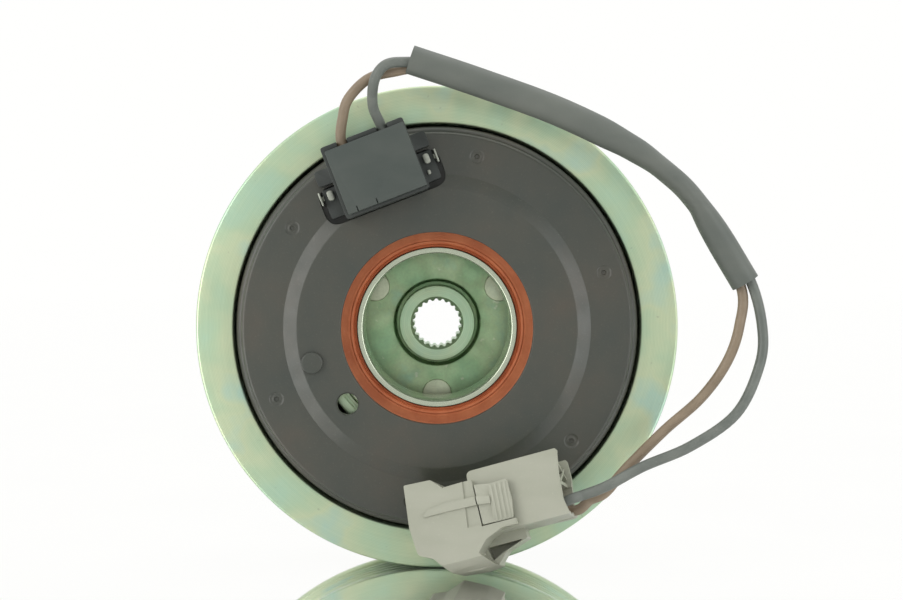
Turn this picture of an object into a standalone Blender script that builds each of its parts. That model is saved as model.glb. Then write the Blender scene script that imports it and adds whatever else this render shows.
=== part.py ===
"""Electromagnetic clutch of a belt-driven air-conditioning compressor.

Metres, +Z up. The shaft axis is Y. The origin is on it, level with the centroid of the whole clutch.
Lengths along Y are given from the face of the coil's mounting plate that seats on the compressor and
looks along -Y; every part hangs on an empty in that face. The belt pulley, the friction faces and the
armature follow along +Y. Angles round the axis are seen from the compressor, from +X towards +Z.
"""

import math

import bmesh
import bpy
from mathutils import Matrix, Vector

# ---- How finely round shapes are cut, and the gap left between neighbours ----
ROUND_STEPS = 32
BEARING_STEPS = 24
SMALL_STEPS = 10
GAP = 0.00015
OVERLAP = 0.001
SMOOTH_BELOW = math.radians(32)

# ---- Where the mounting face is: every other length along Y is measured from it ----
MOUNTING_FACE_Y = -0.0198

# ---- Coil mounting plate: a raised platform inside a lower rim that is welded to the coil housing ----
PLATE_BORE_R = 0.0225
PLATE_R = 0.0458
PLATE_T = 0.0023
PLATFORM_R = 0.0328
PLATFORM_FOOT_R = 0.0360
PLATFORM_H = 0.0016
PILOT_HOLE_R, PILOT_HOLE_AT, PILOT_HOLE_DEG = 0.0025, 0.0274, 220.3
LOCATOR_R, LOCATOR_AT, LOCATOR_DEG, LOCATOR_H = 0.0025, 0.0303, 195.4, 0.0012

# ---- Field coil: a ring-shaped steel cup with a wound bobbin potted into it ----
CUP_R, CUP_BORE_R = 0.0475, 0.0304
CUP_OUTER_WALL, CUP_INNER_WALL, CUP_FLOOR = 0.0032, 0.0030, 0.0030
CUP_REAR_Y = PLATFORM_H + PLATE_T + 2 * GAP
CUP_FRONT_Y = 0.0282
CUP_CORNER = 0.0020
BOBBIN_T = 0.0009
POTTING_T = 0.0021

# ---- Bearing: double-row ball bearing, 35 x 52 x 20 mm ----
BEARING_BORE_R, BEARING_R, BEARING_W = 0.0175, 0.0260, 0.0200
BEARING_REAR_Y = 0.0060
BALL_R, BALLS_PER_ROW = 0.00245, 11
BALL_PITCH_R = (BEARING_BORE_R + BEARING_R) / 2
ROW_OFFSET = 0.0034
RACE_R = BALL_R + 2 * GAP
RACE_HALF_W = 0.0021
INNER_LAND_R = BALL_PITCH_R - 0.0016
OUTER_LAND_R = BALL_PITCH_R + 0.0016
INNER_END_R, OUTER_END_R = 0.0189, 0.0244
END_STEP = 0.0024
SEAL_T = 0.0016

# ---- Rotor: belt rim, coil cavity, friction disc and bearing seat in one forging ----
RIM_R, RIM_BORE_R = 0.0570, 0.0482
RIM_REAR_Y, RIM_FRONT_Y = 0.0052, 0.0324
GROOVES, GROOVE_PITCH, GROOVE_DEPTH = 6, 0.00356, 0.0029
GROOVE_CREST_W, GROOVE_ROOT_W = 0.0010, 0.0008
CREST_R = 0.0565
DISC_R, DISC_BACK_Y, FRICTION_Y = 0.0498, 0.0294, 0.0354
SEAT_TUBE_R, SEAT_TUBE_REAR_Y = 0.0294, 0.0046
STAKE_R = 0.0272
SHOULDER_R = 0.0240
ROTOR_SLOTS = ((0.0318, 0.0338), (0.0434, 0.0456))
SLOTS_PER_RING, SLOT_ARC_DEG = 6, 44.0
CHAMFER = 0.0004

# ---- Driven side: armature plate hung on the hub by three leaf springs ----
AIR_GAP = 0.0005
ARMATURE_BORE_R, ARMATURE_R, ARMATURE_T = 0.0274, 0.0480, 0.0050
ARMATURE_SLOT = (0.0392, 0.0412)
BOSS_R, BOSS_REAR_Y, BOSS_FRONT_Y = 0.0095, 0.0300, 0.0460
FLANGE_R, FLANGE_REAR_Y = 0.0246, 0.0355
BOSS_GROOVE_R, BOSS_GROOVE_D = 0.0110, 0.0038
SPLINE_TEETH, SPLINE_MAJOR_R, SPLINE_MINOR_R = 22, 0.0061, 0.0056
SPLINE_CHAMFER_R, SPLINE_CHAMFER_D = 0.00665, 0.0012
SEAT_BORE_R, SEAT_BORE_D = 0.0076, 0.0028
HUB_RIVETS_AT, HUB_RIVET_DEG = 0.0180, (30.0, 150.0, 270.0)
ARMATURE_RIVETS_AT = 0.0333
SHANK_R, SHANK_HOLE_R = 0.0024, 0.0026
REAR_HEAD_R, REAR_HEAD_T = 0.0038, 0.0007
FRONT_HEAD_R, FRONT_HEAD_T = 0.0042, 0.0014
SUNK_HEAD_R, SUNK_HEAD_T, SUNK_HOLE_R, SUNK_HOLE_D = 0.0040, 0.0015, 0.0043, 0.0023
SPRING_T, SPRING_HALF_W = 0.0008, 0.0052
STOP_PLATE_T, STOP_HOLE_R = 0.0016, 0.0102
STOP_ARM_W, STOP_AT = 0.0090, 0.0312
STOP_PAD_R, STOP_STEM_R, STOP_BUTTON_R, STOP_BUTTON_T = 0.0036, 0.0018, 0.0030, 0.0010

# ---- Terminal block: on the plate, with its own across (t) and outward (n) directions ----
BLOCK_DEG = 111.1
BLOCK_HALF_T, BLOCK_IN_N, BLOCK_OUT_N = 0.0101, 0.0310, 0.0484
BLOCK_REAR_Y, BLOCK_WALL, BLOCK_FLOOR = -0.0086, 0.0012, 0.0017
COVER_T, COVER_SHORT = 0.0014, 0.0007
COVER_HALF_T = 0.0098
OPENING_HALF_T, OPENING_IN_N, OPENING_OUT_N, OPENING_CORNER = 0.0150, 0.0308, 0.0400, 0.0035
FOOT_MARGIN = 0.0004
NECK_HALF_T, NECK_IN_N, NECK_OUT_N = 0.0118, 0.0345, 0.0396
EAR_HALF_T, EAR_IN_N, EAR_OUT_N, EAR_T = 0.0138, 0.0404, 0.0442, 0.0022
CLIP_T_AT, CLIP_N, CLIP_W, CLIP_H, CLIP_T = 0.0131, (0.0362, 0.0392), 0.0024, 0.0018, 0.0005
DIODE_R, DIODE_L, DIODE_N, DIODE_Y = 0.0013, 0.0058, 0.0362, -0.0052

# ---- Leads ----
WIRE_R = 0.00115
WIRE_Y = -0.0058
WIRE_SPREAD = 0.00485
WIRE_STEPS = 2
SLEEVE_R, SLEEVE_WALL = 0.0034, 0.0006
SLEEVE_SPREAD = 0.00124
BEVEL_RESOLUTION = 2

# ---- Plug: its own along (p, tail to the right) and across (q) directions, tilted to lie by the rim ----
PLUG_TILT_DEG, PLUG_ROLL_DEG, PLUG_YAW_DEG = 13.5, -15.0, -9.0
PLUG_ORIGIN = (0.0013, 0.0, -0.0012)
PLUG_NOSE_P, PLUG_STEP_P, PLUG_TAIL_P = -0.0158, 0.0000, 0.0206
PLUG_TOP_Q, PLUG_WAIST_Q, PLUG_TAIL_BOTTOM_Q, PLUG_BOTTOM_Q = -0.0321, -0.0344, -0.0484, -0.0535
PLUG_FRONT_Y, HOOD_REAR_Y, TAIL_REAR_Y = -0.0062, -0.0213, -0.0193
HOOD_WALL, THUMB_ROOM = 0.0013, 0.0070
CAVITY_DEPTH = 0.0105
PLUG_CORE_Q = -0.0402
WIRE_Q = -0.0446
PIN_SPACING_Y, PIN_W, PIN_T = 0.0050, 0.0020, 0.0008
PIN_TIP_GAP, PIN_TAIL_P = 0.0030, 0.0075
WIRE_HOLE_R, SEAL_L = 0.0021, 0.0042
WING_TIP_P, WING_TOP_Q = 0.0092, -0.0470
LEVER_P, LEVER_Q = (0.00015, 0.0080), (-0.0466, -0.0360)
LEVER_T, LEVER_RIBS = 0.0013, 3
LEVER_PIVOT_P, LEVER_PIVOT_Y = 0.00015, -0.0213


def clear_scene():
    for obj in list(bpy.data.objects):
        bpy.data.objects.remove(obj, do_unlink=True)


def collection(name):
    made = bpy.data.collections.new(name)
    bpy.context.scene.collection.children.link(made)
    return made


def material(name, colour, roughness, metallic=0.0):
    made = bpy.data.materials.new(name)
    made.use_nodes = True
    shader = made.node_tree.nodes["Principled BSDF"]
    shader.inputs["Base Color"].default_value = (*colour, 1.0)
    shader.inputs["Roughness"].default_value = roughness
    shader.inputs["Metallic"].default_value = metallic
    return made


clear_scene()
PARTS = collection("electromagnetic_clutch")
CUTTERS = collection("cutters")
TO_AXIS = Matrix.Rotation(-math.pi / 2, 4, "X")

ZINC = material("zinc_chromate", (0.62, 0.70, 0.50), 0.35, 0.8)
STEEL = material("bearing_steel", (0.72, 0.73, 0.70), 0.25, 1.0)
BLACK_STEEL = material("black_painted_steel", (0.07, 0.07, 0.06), 0.45, 0.1)
SEAL_RUBBER = material("orange_seal_rubber", (0.62, 0.16, 0.07), 0.6)
BLACK_RUBBER = material("black_rubber", (0.03, 0.03, 0.03), 0.75)
BLACK_PLASTIC = material("black_plastic", (0.05, 0.06, 0.05), 0.5)
GREY_PLASTIC = material("grey_plastic", (0.42, 0.40, 0.35), 0.5)
BROWN_JACKET = material("brown_wire_jacket", (0.28, 0.19, 0.13), 0.5)
BLACK_JACKET = material("black_wire_jacket", (0.09, 0.10, 0.09), 0.5)
COPPER = material("copper_winding", (0.72, 0.36, 0.18), 0.35, 1.0)
TINNED = material("tinned_metal", (0.75, 0.74, 0.70), 0.3, 1.0)
SPRING_STEEL = material("spring_steel", (0.45, 0.45, 0.43), 0.3, 1.0)
RESIN = material("potting_resin", (0.10, 0.09, 0.07), 0.4)


def empty(name, place=(0, 0, 0), parent=None):
    made = bpy.data.objects.new(name, None)
    made.location = place
    made.parent = parent
    PARTS.objects.link(made)
    return made


FACE = empty("mounting_face", (0, MOUNTING_FACE_Y, 0))
STATOR = empty("stator_frame", parent=FACE)
ROTOR = empty("rotor_axis", parent=FACE)
BALL_SET = empty("ball_set_axis", parent=FACE)
HUB = empty("hub_axis", parent=FACE)
ARMATURE = empty("armature_axis", parent=HUB)


def add(name, mesh, skin, parent):
    obj = bpy.data.objects.new(name, mesh)
    if skin is None:
        CUTTERS.objects.link(obj)
        obj.hide_render = True
        obj.display_type = "WIRE"
        obj.parent = FACE
    else:
        PARTS.objects.link(obj)
        obj.data.materials.append(skin)
        obj.parent = parent
    return obj


def mesh_from(name, bm):
    bmesh.ops.recalc_face_normals(bm, faces=bm.faces)
    mesh = bpy.data.meshes.new(name)
    bm.to_mesh(mesh)
    bm.free()
    return mesh


def modified(obj, kind, **settings):
    modifier = obj.modifiers.new(kind.title(), kind)
    for key, value in settings.items():
        setattr(modifier, key, value)
    return modifier


def joined(obj, other, operation):
    modified(obj, "BOOLEAN", object=other, operation=operation)
    return obj


def polar(radius, degrees, y=0.0):
    """The point at this radius and angle round the shaft axis."""
    angle = math.radians(degrees)
    return Vector((radius * math.cos(angle), y, radius * math.sin(angle)))


def turned(name, profile, skin, parent=None, steps=ROUND_STEPS, centre=(0, 0, 0)):
    """A profile of (radius, Y) points turned about a line along Y. A ring's profile is a closed loop that
    runs from front to rear on its outer side; a profile that starts and ends on the axis stays open."""
    bm = bmesh.new()
    points = [bm.verts.new((radius, 0, y)) for radius, y in profile]
    for first, second in zip(points, points[1:]):
        bm.edges.new((first, second))
    if profile[0][0] > 0:
        bm.edges.new((points[-1], points[0]))
    mesh = bpy.data.meshes.new(name)
    bm.to_mesh(mesh)
    bm.free()
    obj = add(name, mesh, skin, parent)
    obj.matrix_basis = Matrix.Translation(centre) @ TO_AXIS
    modified(obj, "SCREW", steps=steps, render_steps=steps, use_merge_vertices=True, merge_threshold=1e-6)
    return obj


def block(name, low, high, skin=None, parent=None, place=Matrix.Identity(4)):
    """A box between two corners of a local frame whose axes are across, Y and outward."""
    low, high = Vector(low), Vector(high)
    bm = bmesh.new()
    bmesh.ops.create_cube(bm, size=1.0)
    size = high - low
    bmesh.ops.scale(bm, vec=size, verts=bm.verts)
    bmesh.ops.translate(bm, vec=(low + high) / 2, verts=bm.verts)
    obj = add(name, mesh_from(name, bm), skin, parent)
    obj.matrix_basis = place
    return obj


def mesh_of(curve):
    """The mesh that a curve makes, closed where its caps meet its sides."""
    guide = bpy.data.objects.new(curve.name + "_guide", curve)
    PARTS.objects.link(guide)
    bpy.context.view_layer.update()
    mesh = bpy.data.meshes.new_from_object(guide.evaluated_get(bpy.context.evaluated_depsgraph_get()))
    bpy.data.objects.remove(guide, do_unlink=True)
    bm = bmesh.new()
    bm.from_mesh(mesh)
    bmesh.ops.remove_doubles(bm, verts=bm.verts, dist=1e-6)
    bm.to_mesh(mesh)
    bm.free()
    mesh.materials.clear()
    return mesh


def polyline(name, points, closed):
    curve = bpy.data.curves.new(name, "CURVE")
    spline = curve.splines.new("POLY")
    spline.points.add(len(points) - 1)
    for target, point in zip(spline.points, points):
        target.co = (*point, 1)
    spline.use_cyclic_u = closed
    return curve


def slab(name, outline, y_rear, y_front, skin=None, parent=None, place=Matrix.Identity(4)):
    """A flat outline of (across, outward) points with thickness along Y."""
    curve = polyline(name, [(a, b, 0) for a, b in outline], closed=True)
    curve.dimensions = "2D"
    curve.fill_mode = "BOTH"
    curve.extrude = (y_front - y_rear) / 2
    obj = add(name, mesh_of(curve), skin, parent)
    upright = Matrix.Rotation(math.pi / 2, 4, "X")
    obj.matrix_basis = place @ Matrix.Translation((0, (y_rear + y_front) / 2, 0)) @ upright
    return obj


def pin(name, radius, y_rear, y_front, centre, steps=SMALL_STEPS, skin=None, parent=None):
    """A plain round bar along Y, centred on a point."""
    profile = [(0, y_front), (radius, y_front), (radius, y_rear), (0, y_rear)]
    return turned(name, profile, skin, parent, steps, centre)


def arc(centre_a, centre_b, radius, start_deg, end_deg, steps):
    """Points along an arc, as (first, second) coordinates."""
    angles = [math.radians(start_deg + (end_deg - start_deg) * i / steps) for i in range(steps + 1)]
    return [(centre_a + radius * math.cos(a), centre_b + radius * math.sin(a)) for a in angles]


def rounded_box(low_a, high_a, low_b, high_b, radius, steps=4):
    """The outline of a rectangle with round corners."""
    corners = (
        (high_a - radius, high_b - radius, 0),
        (low_a + radius, high_b - radius, 90),
        (low_a + radius, low_b + radius, 180),
        (high_a - radius, low_b + radius, 270),
    )
    return [point for a, b, turn in corners for point in arc(a, b, radius, turn, turn + 90, steps)]


def ring_slots(name, radii, y_rear, y_front, count, arc_deg, phase_deg, steps=3):
    """A cutter of curved slots, evenly spaced round the axis."""
    bm = bmesh.new()
    for i in range(count):
        start = phase_deg + 360.0 * i / count - arc_deg / 2
        loop = zip((*radii, *radii[::-1]), (y_rear, y_rear, y_front, y_front))
        corners = [polar(radius, start, y) for radius, y in loop]
        face = bm.faces.new([bm.verts.new(corner) for corner in corners])
        swept = list(face.verts) + list(face.edges) + [face]
        bmesh.ops.spin(bm, geom=swept, axis=(0, -1, 0), angle=math.radians(arc_deg), steps=steps)
    return add(name, mesh_from(name, bm), None, None)


def race_arc(side, row_y, steps=3):
    """Points of one ball groove, from rear to front: side is +1 on the outer ring and -1 on the inner."""
    half = math.degrees(math.asin(RACE_HALF_W / RACE_R))
    angles = [math.radians(-half + 2 * half * i / steps) for i in range(steps + 1)]
    return [(BALL_PITCH_R + side * RACE_R * math.cos(a), row_y + RACE_R * math.sin(a)) for a in angles]


# ---------------------------------------------------------------- field coil

def opening_cutter():
    """The mouth in the plate that the terminal block stands in."""
    outline = rounded_box(-OPENING_HALF_T, OPENING_HALF_T, OPENING_IN_N, OPENING_OUT_N, OPENING_CORNER)
    return slab("opening_cutter", outline, -OVERLAP, CUP_REAR_Y + GAP, place=BLOCK_FRAME)


def mounting_plate():
    slope_in = (PLATFORM_FOOT_R - 0.0004, PLATFORM_H - 0.0002)
    slope_out = (PLATFORM_R + 0.0006, 0.0002)
    profile = [
        (PLATE_R, PLATFORM_H + PLATE_T),
        (PLATE_R, PLATFORM_H + 0.0009),
        (PLATE_R - 0.0005, PLATFORM_H + 0.0002),
        (PLATE_R - 0.0014, PLATFORM_H),
        (PLATFORM_FOOT_R, PLATFORM_H),
        slope_in,
        slope_out,
        (PLATFORM_R, 0),
        (PLATE_BORE_R + CHAMFER, 0),
        (PLATE_BORE_R, CHAMFER),
        (PLATE_BORE_R, PLATE_T),
        (PLATFORM_R - 0.0004, PLATE_T),
        (PLATFORM_FOOT_R - 0.0006, PLATFORM_H + PLATE_T),
    ]
    plate = turned("mounting_plate", profile, BLACK_STEEL, STATOR)
    locator = pin("locator_button", LOCATOR_R, -LOCATOR_H, OVERLAP, polar(LOCATOR_AT, LOCATOR_DEG))
    hole = pin("pilot_hole", PILOT_HOLE_R, -OVERLAP, PLATE_T + OVERLAP, polar(PILOT_HOLE_AT, PILOT_HOLE_DEG))
    joined(plate, locator, "UNION")
    joined(plate, hole, "DIFFERENCE")
    joined(plate, opening_cutter(), "DIFFERENCE")


def coil_housing():
    corner = arc(CUP_R - CUP_CORNER, CUP_REAR_Y + CUP_CORNER, CUP_CORNER, 0, -90, 3)
    cavity_out, cavity_in = CUP_R - CUP_OUTER_WALL, CUP_BORE_R + CUP_INNER_WALL
    floor = CUP_REAR_Y + CUP_FLOOR
    profile = [
        (CUP_R, CUP_FRONT_Y),
        *corner,
        (CUP_BORE_R + CHAMFER, CUP_REAR_Y),
        (CUP_BORE_R, CUP_REAR_Y + CHAMFER),
        (CUP_BORE_R, CUP_FRONT_Y),
        (cavity_in, CUP_FRONT_Y),
        (cavity_in, floor),
        (cavity_out, floor),
        (cavity_out, CUP_FRONT_Y),
    ]
    cup = turned("coil_housing", profile, BLACK_STEEL, STATOR)
    half = NECK_HALF_T + 2 * GAP
    outline = rounded_box(-half, half, NECK_IN_N - GAP, NECK_OUT_N + GAP, GAP)
    neck = slab("neck_cutter", outline, CUP_REAR_Y - OVERLAP, floor + OVERLAP, place=BLOCK_FRAME)
    joined(cup, neck, "DIFFERENCE")


def coil():
    out_r = CUP_R - CUP_OUTER_WALL - 2 * GAP
    in_r = CUP_BORE_R + CUP_INNER_WALL + 2 * GAP
    rear = CUP_REAR_Y + CUP_FLOOR + 2 * GAP
    front = CUP_FRONT_Y - POTTING_T - 2 * GAP
    tube_r = in_r + BOBBIN_T
    bobbin = [
        (out_r, front),
        (out_r, front - BOBBIN_T),
        (tube_r, front - BOBBIN_T),
        (tube_r, rear + BOBBIN_T),
        (out_r, rear + BOBBIN_T),
        (out_r, rear),
        (in_r, rear),
        (in_r, front),
    ]
    turned("coil_bobbin", bobbin, BLACK_PLASTIC, STATOR)
    wound_out, wound_in = out_r - 2 * GAP, tube_r + 2 * GAP
    wound_rear, wound_front = rear + BOBBIN_T + 2 * GAP, front - BOBBIN_T - 2 * GAP
    winding = [
        (wound_out, wound_front),
        (wound_out, wound_rear),
        (wound_in, wound_rear),
        (wound_in, wound_front),
    ]
    turned("coil_winding", winding, COPPER, STATOR)
    potting_rear, potting_front = front + 2 * GAP, CUP_FRONT_Y - GAP
    potting = [
        (out_r, potting_front),
        (out_r, potting_rear),
        (in_r, potting_rear),
        (in_r, potting_front),
    ]
    turned("coil_potting", potting, RESIN, STATOR)


# ---------------------------------------------------------------- bearing

def bearing():
    rear, front = BEARING_REAR_Y, BEARING_REAR_Y + BEARING_W
    middle = (rear + front) / 2
    rows = (middle - ROW_OFFSET, middle + ROW_OFFSET)
    outer = [
        (BEARING_R, front - CHAMFER),
        (BEARING_R, rear + CHAMFER),
        (BEARING_R - CHAMFER, rear),
        (OUTER_END_R, rear),
        (OUTER_END_R, rear + END_STEP),
        (OUTER_LAND_R, rear + END_STEP),
        *race_arc(1, rows[0]),
        *race_arc(1, rows[1]),
        (OUTER_LAND_R, front - END_STEP),
        (OUTER_END_R, front - END_STEP),
        (OUTER_END_R, front),
        (BEARING_R - CHAMFER, front),
    ]
    turned("bearing_outer_ring", outer, STEEL, ROTOR, BEARING_STEPS)
    inner = [
        (INNER_END_R, front),
        (INNER_END_R, front - END_STEP),
        (INNER_LAND_R, front - END_STEP),
        *race_arc(-1, rows[1])[::-1],
        *race_arc(-1, rows[0])[::-1],
        (INNER_LAND_R, rear + END_STEP),
        (INNER_END_R, rear + END_STEP),
        (INNER_END_R, rear),
        (BEARING_BORE_R + CHAMFER, rear),
        (BEARING_BORE_R, rear + CHAMFER),
        (BEARING_BORE_R, front - CHAMFER),
        (BEARING_BORE_R + CHAMFER, front),
    ]
    turned("bearing_inner_ring", inner, STEEL, STATOR, BEARING_STEPS)
    seal_in, seal_out = INNER_END_R + 3 * GAP, OUTER_END_R - GAP
    for name, end, way in (("bearing_seal_rear", rear, 1), ("bearing_seal_front", front, -1)):
        near, far = sorted((end + way * GAP, end + way * (GAP + SEAL_T)))
        seal = [(seal_out, far), (seal_out, near), (seal_in, near), (seal_in, far)]
        turned(name, seal, SEAL_RUBBER, ROTOR, BEARING_STEPS)
    ball_row("bearing_balls_rear", rows[0], -1)
    ball_row("bearing_balls_front", rows[1], 1)


def ball_row(name, row_y, way):
    """One row of balls in its snap-in cage. The cage's ring is on the row's outer side."""
    ring_in, ring_out = BALL_PITCH_R - 0.0008, BALL_PITCH_R + 0.0008
    near, far = sorted((row_y + way * 0.0003, row_y + way * 0.0030))
    cage = [(ring_out, far), (ring_out, near), (ring_in, near), (ring_in, far)]
    row = turned(name, cage, STEEL, BALL_SET, BEARING_STEPS)
    bm = bmesh.new()
    for i in range(BALLS_PER_ROW):
        place = Matrix.Translation(polar(BALL_PITCH_R, 360.0 * i / BALLS_PER_ROW, row_y)) @ TO_AXIS
        bmesh.ops.create_uvsphere(bm, u_segments=8, v_segments=4, radius=BALL_R, matrix=place)
    joined(row, add(name + "_set", mesh_from(name, bm), None, None), "UNION")


# ---------------------------------------------------------------- rotor

def groove_outline():
    """The belt grooves from front to rear, as V shapes with flat crests and roots."""
    first = (RIM_REAR_Y + RIM_FRONT_Y + GROOVES * GROOVE_PITCH) / 2
    flank = (GROOVE_PITCH - GROOVE_CREST_W - GROOVE_ROOT_W) / 2
    points = [(RIM_R, first + GROOVE_CREST_W / 2)]
    for i in range(GROOVES):
        top = first - i * GROOVE_PITCH
        points += [
            (CREST_R, top - GROOVE_CREST_W / 2),
            (CREST_R - GROOVE_DEPTH, top - GROOVE_CREST_W / 2 - flank),
            (CREST_R - GROOVE_DEPTH, top - GROOVE_CREST_W / 2 - flank - GROOVE_ROOT_W),
            (CREST_R, top - GROOVE_PITCH + GROOVE_CREST_W / 2),
        ]
    points.append((RIM_R, first - GROOVES * GROOVE_PITCH - GROOVE_CREST_W / 2))
    return points


def rotor():
    seat_r = BEARING_R + GAP
    profile = [
        (DISC_R - CHAMFER, FRICTION_Y),
        (DISC_R, FRICTION_Y - CHAMFER),
        (DISC_R, RIM_FRONT_Y),
        (RIM_R - CHAMFER, RIM_FRONT_Y),
        (RIM_R, RIM_FRONT_Y - CHAMFER),
        *groove_outline(),
        (RIM_R, RIM_REAR_Y + CHAMFER),
        (RIM_R - CHAMFER, RIM_REAR_Y),
        (RIM_BORE_R + CHAMFER, RIM_REAR_Y),
        (RIM_BORE_R, RIM_REAR_Y + CHAMFER),
        (RIM_BORE_R, DISC_BACK_Y),
        (SEAT_TUBE_R, DISC_BACK_Y),
        (SEAT_TUBE_R, SEAT_TUBE_REAR_Y),
        (STAKE_R + CHAMFER, SEAT_TUBE_REAR_Y),
        (STAKE_R, SEAT_TUBE_REAR_Y + CHAMFER),
        (STAKE_R, BEARING_REAR_Y - CHAMFER),
        (seat_r, BEARING_REAR_Y),
        (seat_r, BEARING_REAR_Y + BEARING_W + GAP),
        (SHOULDER_R, BEARING_REAR_Y + BEARING_W + GAP),
        (SHOULDER_R, FRICTION_Y - CHAMFER),
        (SHOULDER_R + CHAMFER, FRICTION_Y),
    ]
    pulley = turned("rotor_pulley", profile, ZINC, ROTOR)
    for i, radii in enumerate(ROTOR_SLOTS):
        name = f"rotor_slots_{i}"
        slots = ring_slots(
            name, radii, DISC_BACK_Y - OVERLAP, FRICTION_Y + OVERLAP, SLOTS_PER_RING, SLOT_ARC_DEG, 30.0 * i
        )
        joined(pulley, slots, "DIFFERENCE")


# ---------------------------------------------------------------- armature and hub

ARMATURE_REAR_Y = FRICTION_Y + AIR_GAP
ARMATURE_FRONT_Y = ARMATURE_REAR_Y + ARMATURE_T
SPRING_REAR_Y = ARMATURE_FRONT_Y + GAP
SPRING_FRONT_Y = SPRING_REAR_Y + SPRING_T
STOP_REAR_Y = SPRING_FRONT_Y + GAP
STOP_FRONT_Y = STOP_REAR_Y + STOP_PLATE_T
SPRING_REACH = math.sqrt(ARMATURE_RIVETS_AT**2 - HUB_RIVETS_AT**2)
ARMATURE_RIVET_TURN = math.degrees(math.acos(HUB_RIVETS_AT / ARMATURE_RIVETS_AT))


def armature():
    profile = [
        (ARMATURE_R, ARMATURE_FRONT_Y - CHAMFER),
        (ARMATURE_R, ARMATURE_REAR_Y + CHAMFER),
        (ARMATURE_R - CHAMFER, ARMATURE_REAR_Y),
        (ARMATURE_BORE_R, ARMATURE_REAR_Y),
        (ARMATURE_BORE_R, ARMATURE_FRONT_Y),
        (ARMATURE_R - CHAMFER, ARMATURE_FRONT_Y),
    ]
    plate = turned("armature_plate", profile, ZINC, ARMATURE)
    slots = ring_slots(
        "armature_slots",
        ARMATURE_SLOT,
        ARMATURE_REAR_Y - OVERLAP,
        ARMATURE_FRONT_Y + OVERLAP,
        SLOTS_PER_RING,
        SLOT_ARC_DEG,
        15.0,
    )
    joined(plate, slots, "DIFFERENCE")
    for i, hub_deg in enumerate(HUB_RIVET_DEG, 1):
        place = polar(ARMATURE_RIVETS_AT, hub_deg + ARMATURE_RIVET_TURN)
        ledge_y = ARMATURE_REAR_Y + SUNK_HOLE_D
        hole = [
            (0, ARMATURE_FRONT_Y + OVERLAP),
            (SHANK_HOLE_R, ARMATURE_FRONT_Y + OVERLAP),
            (SHANK_HOLE_R, ledge_y),
            (SUNK_HOLE_R, ledge_y),
            (SUNK_HOLE_R, ARMATURE_REAR_Y - OVERLAP),
            (0, ARMATURE_REAR_Y - OVERLAP),
        ]
        joined(plate, turned(f"armature_hole_{i}", hole, None, None, SMALL_STEPS, place), "DIFFERENCE")
        head_y = SPRING_FRONT_Y + GAP
        rivet = [
            (0, head_y + FRONT_HEAD_T),
            (FRONT_HEAD_R * 0.6, head_y + FRONT_HEAD_T),
            (FRONT_HEAD_R, head_y + FRONT_HEAD_T * 0.4),
            (FRONT_HEAD_R, head_y),
            (SHANK_R, head_y),
            (SHANK_R, ledge_y - GAP),
            (SUNK_HEAD_R, ledge_y - GAP),
            (SUNK_HEAD_R, ledge_y - GAP - SUNK_HEAD_T),
            (0, ledge_y - GAP - SUNK_HEAD_T),
        ]
        turned(f"armature_rivet_{i}", rivet, ZINC, ARMATURE, SMALL_STEPS, place)


def spline_cutter():
    """A prism whose star outline leaves the spline's teeth standing in the boss."""
    tooth = (
        (0.0, SPLINE_MINOR_R),
        (0.28, SPLINE_MINOR_R),
        (0.5, SPLINE_MAJOR_R),
        (0.78, SPLINE_MAJOR_R),
    )
    outline = []
    for i in range(SPLINE_TEETH):
        for part, radius in tooth:
            angle = 2 * math.pi * (i + part) / SPLINE_TEETH
            outline.append((radius * math.cos(angle), radius * math.sin(angle)))
    return slab("spline_cutter", outline, BOSS_REAR_Y - OVERLAP, BOSS_FRONT_Y + OVERLAP)


def hub():
    pilot_r = SPLINE_MINOR_R - 0.0005
    profile = [
        (BOSS_R - CHAMFER, BOSS_FRONT_Y),
        (BOSS_R, BOSS_FRONT_Y - CHAMFER),
        (BOSS_R, ARMATURE_FRONT_Y),
        (FLANGE_R - CHAMFER, ARMATURE_FRONT_Y),
        (FLANGE_R, ARMATURE_FRONT_Y - CHAMFER),
        (FLANGE_R, FLANGE_REAR_Y + CHAMFER),
        (FLANGE_R - CHAMFER, FLANGE_REAR_Y),
        (BOSS_GROOVE_R, FLANGE_REAR_Y),
        (BOSS_GROOVE_R - CHAMFER, FLANGE_REAR_Y + BOSS_GROOVE_D),
        (BOSS_R, FLANGE_REAR_Y + BOSS_GROOVE_D),
        (BOSS_R, BOSS_REAR_Y + CHAMFER),
        (BOSS_R - CHAMFER, BOSS_REAR_Y),
        (SPLINE_CHAMFER_R, BOSS_REAR_Y),
        (pilot_r, BOSS_REAR_Y + SPLINE_CHAMFER_D),
        (pilot_r, BOSS_FRONT_Y - SEAT_BORE_D),
        (SEAT_BORE_R, BOSS_FRONT_Y - SEAT_BORE_D),
        (SEAT_BORE_R, BOSS_FRONT_Y),
    ]
    body = turned("hub", profile, ZINC, HUB)
    joined(body, spline_cutter(), "DIFFERENCE")
    for i, degrees in enumerate(HUB_RIVET_DEG, 1):
        place = polar(HUB_RIVETS_AT, degrees)
        hole = pin(f"hub_hole_{i}", SHANK_HOLE_R, FLANGE_REAR_Y - OVERLAP, ARMATURE_FRONT_Y + OVERLAP, place)
        joined(body, hole, "DIFFERENCE")
        rear, front = FLANGE_REAR_Y - GAP, STOP_FRONT_Y + GAP
        rivet = [
            (0, front + FRONT_HEAD_T),
            (FRONT_HEAD_R * 0.6, front + FRONT_HEAD_T),
            (FRONT_HEAD_R, front + FRONT_HEAD_T * 0.4),
            (FRONT_HEAD_R, front),
            (SHANK_R, front),
            (SHANK_R, rear),
            (REAR_HEAD_R, rear),
            (REAR_HEAD_R, rear - REAR_HEAD_T),
            (0, rear - REAR_HEAD_T),
        ]
        turned(f"hub_rivet_{i}", rivet, ZINC, HUB, SMALL_STEPS, place)
        leaf_spring(i, degrees)


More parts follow.
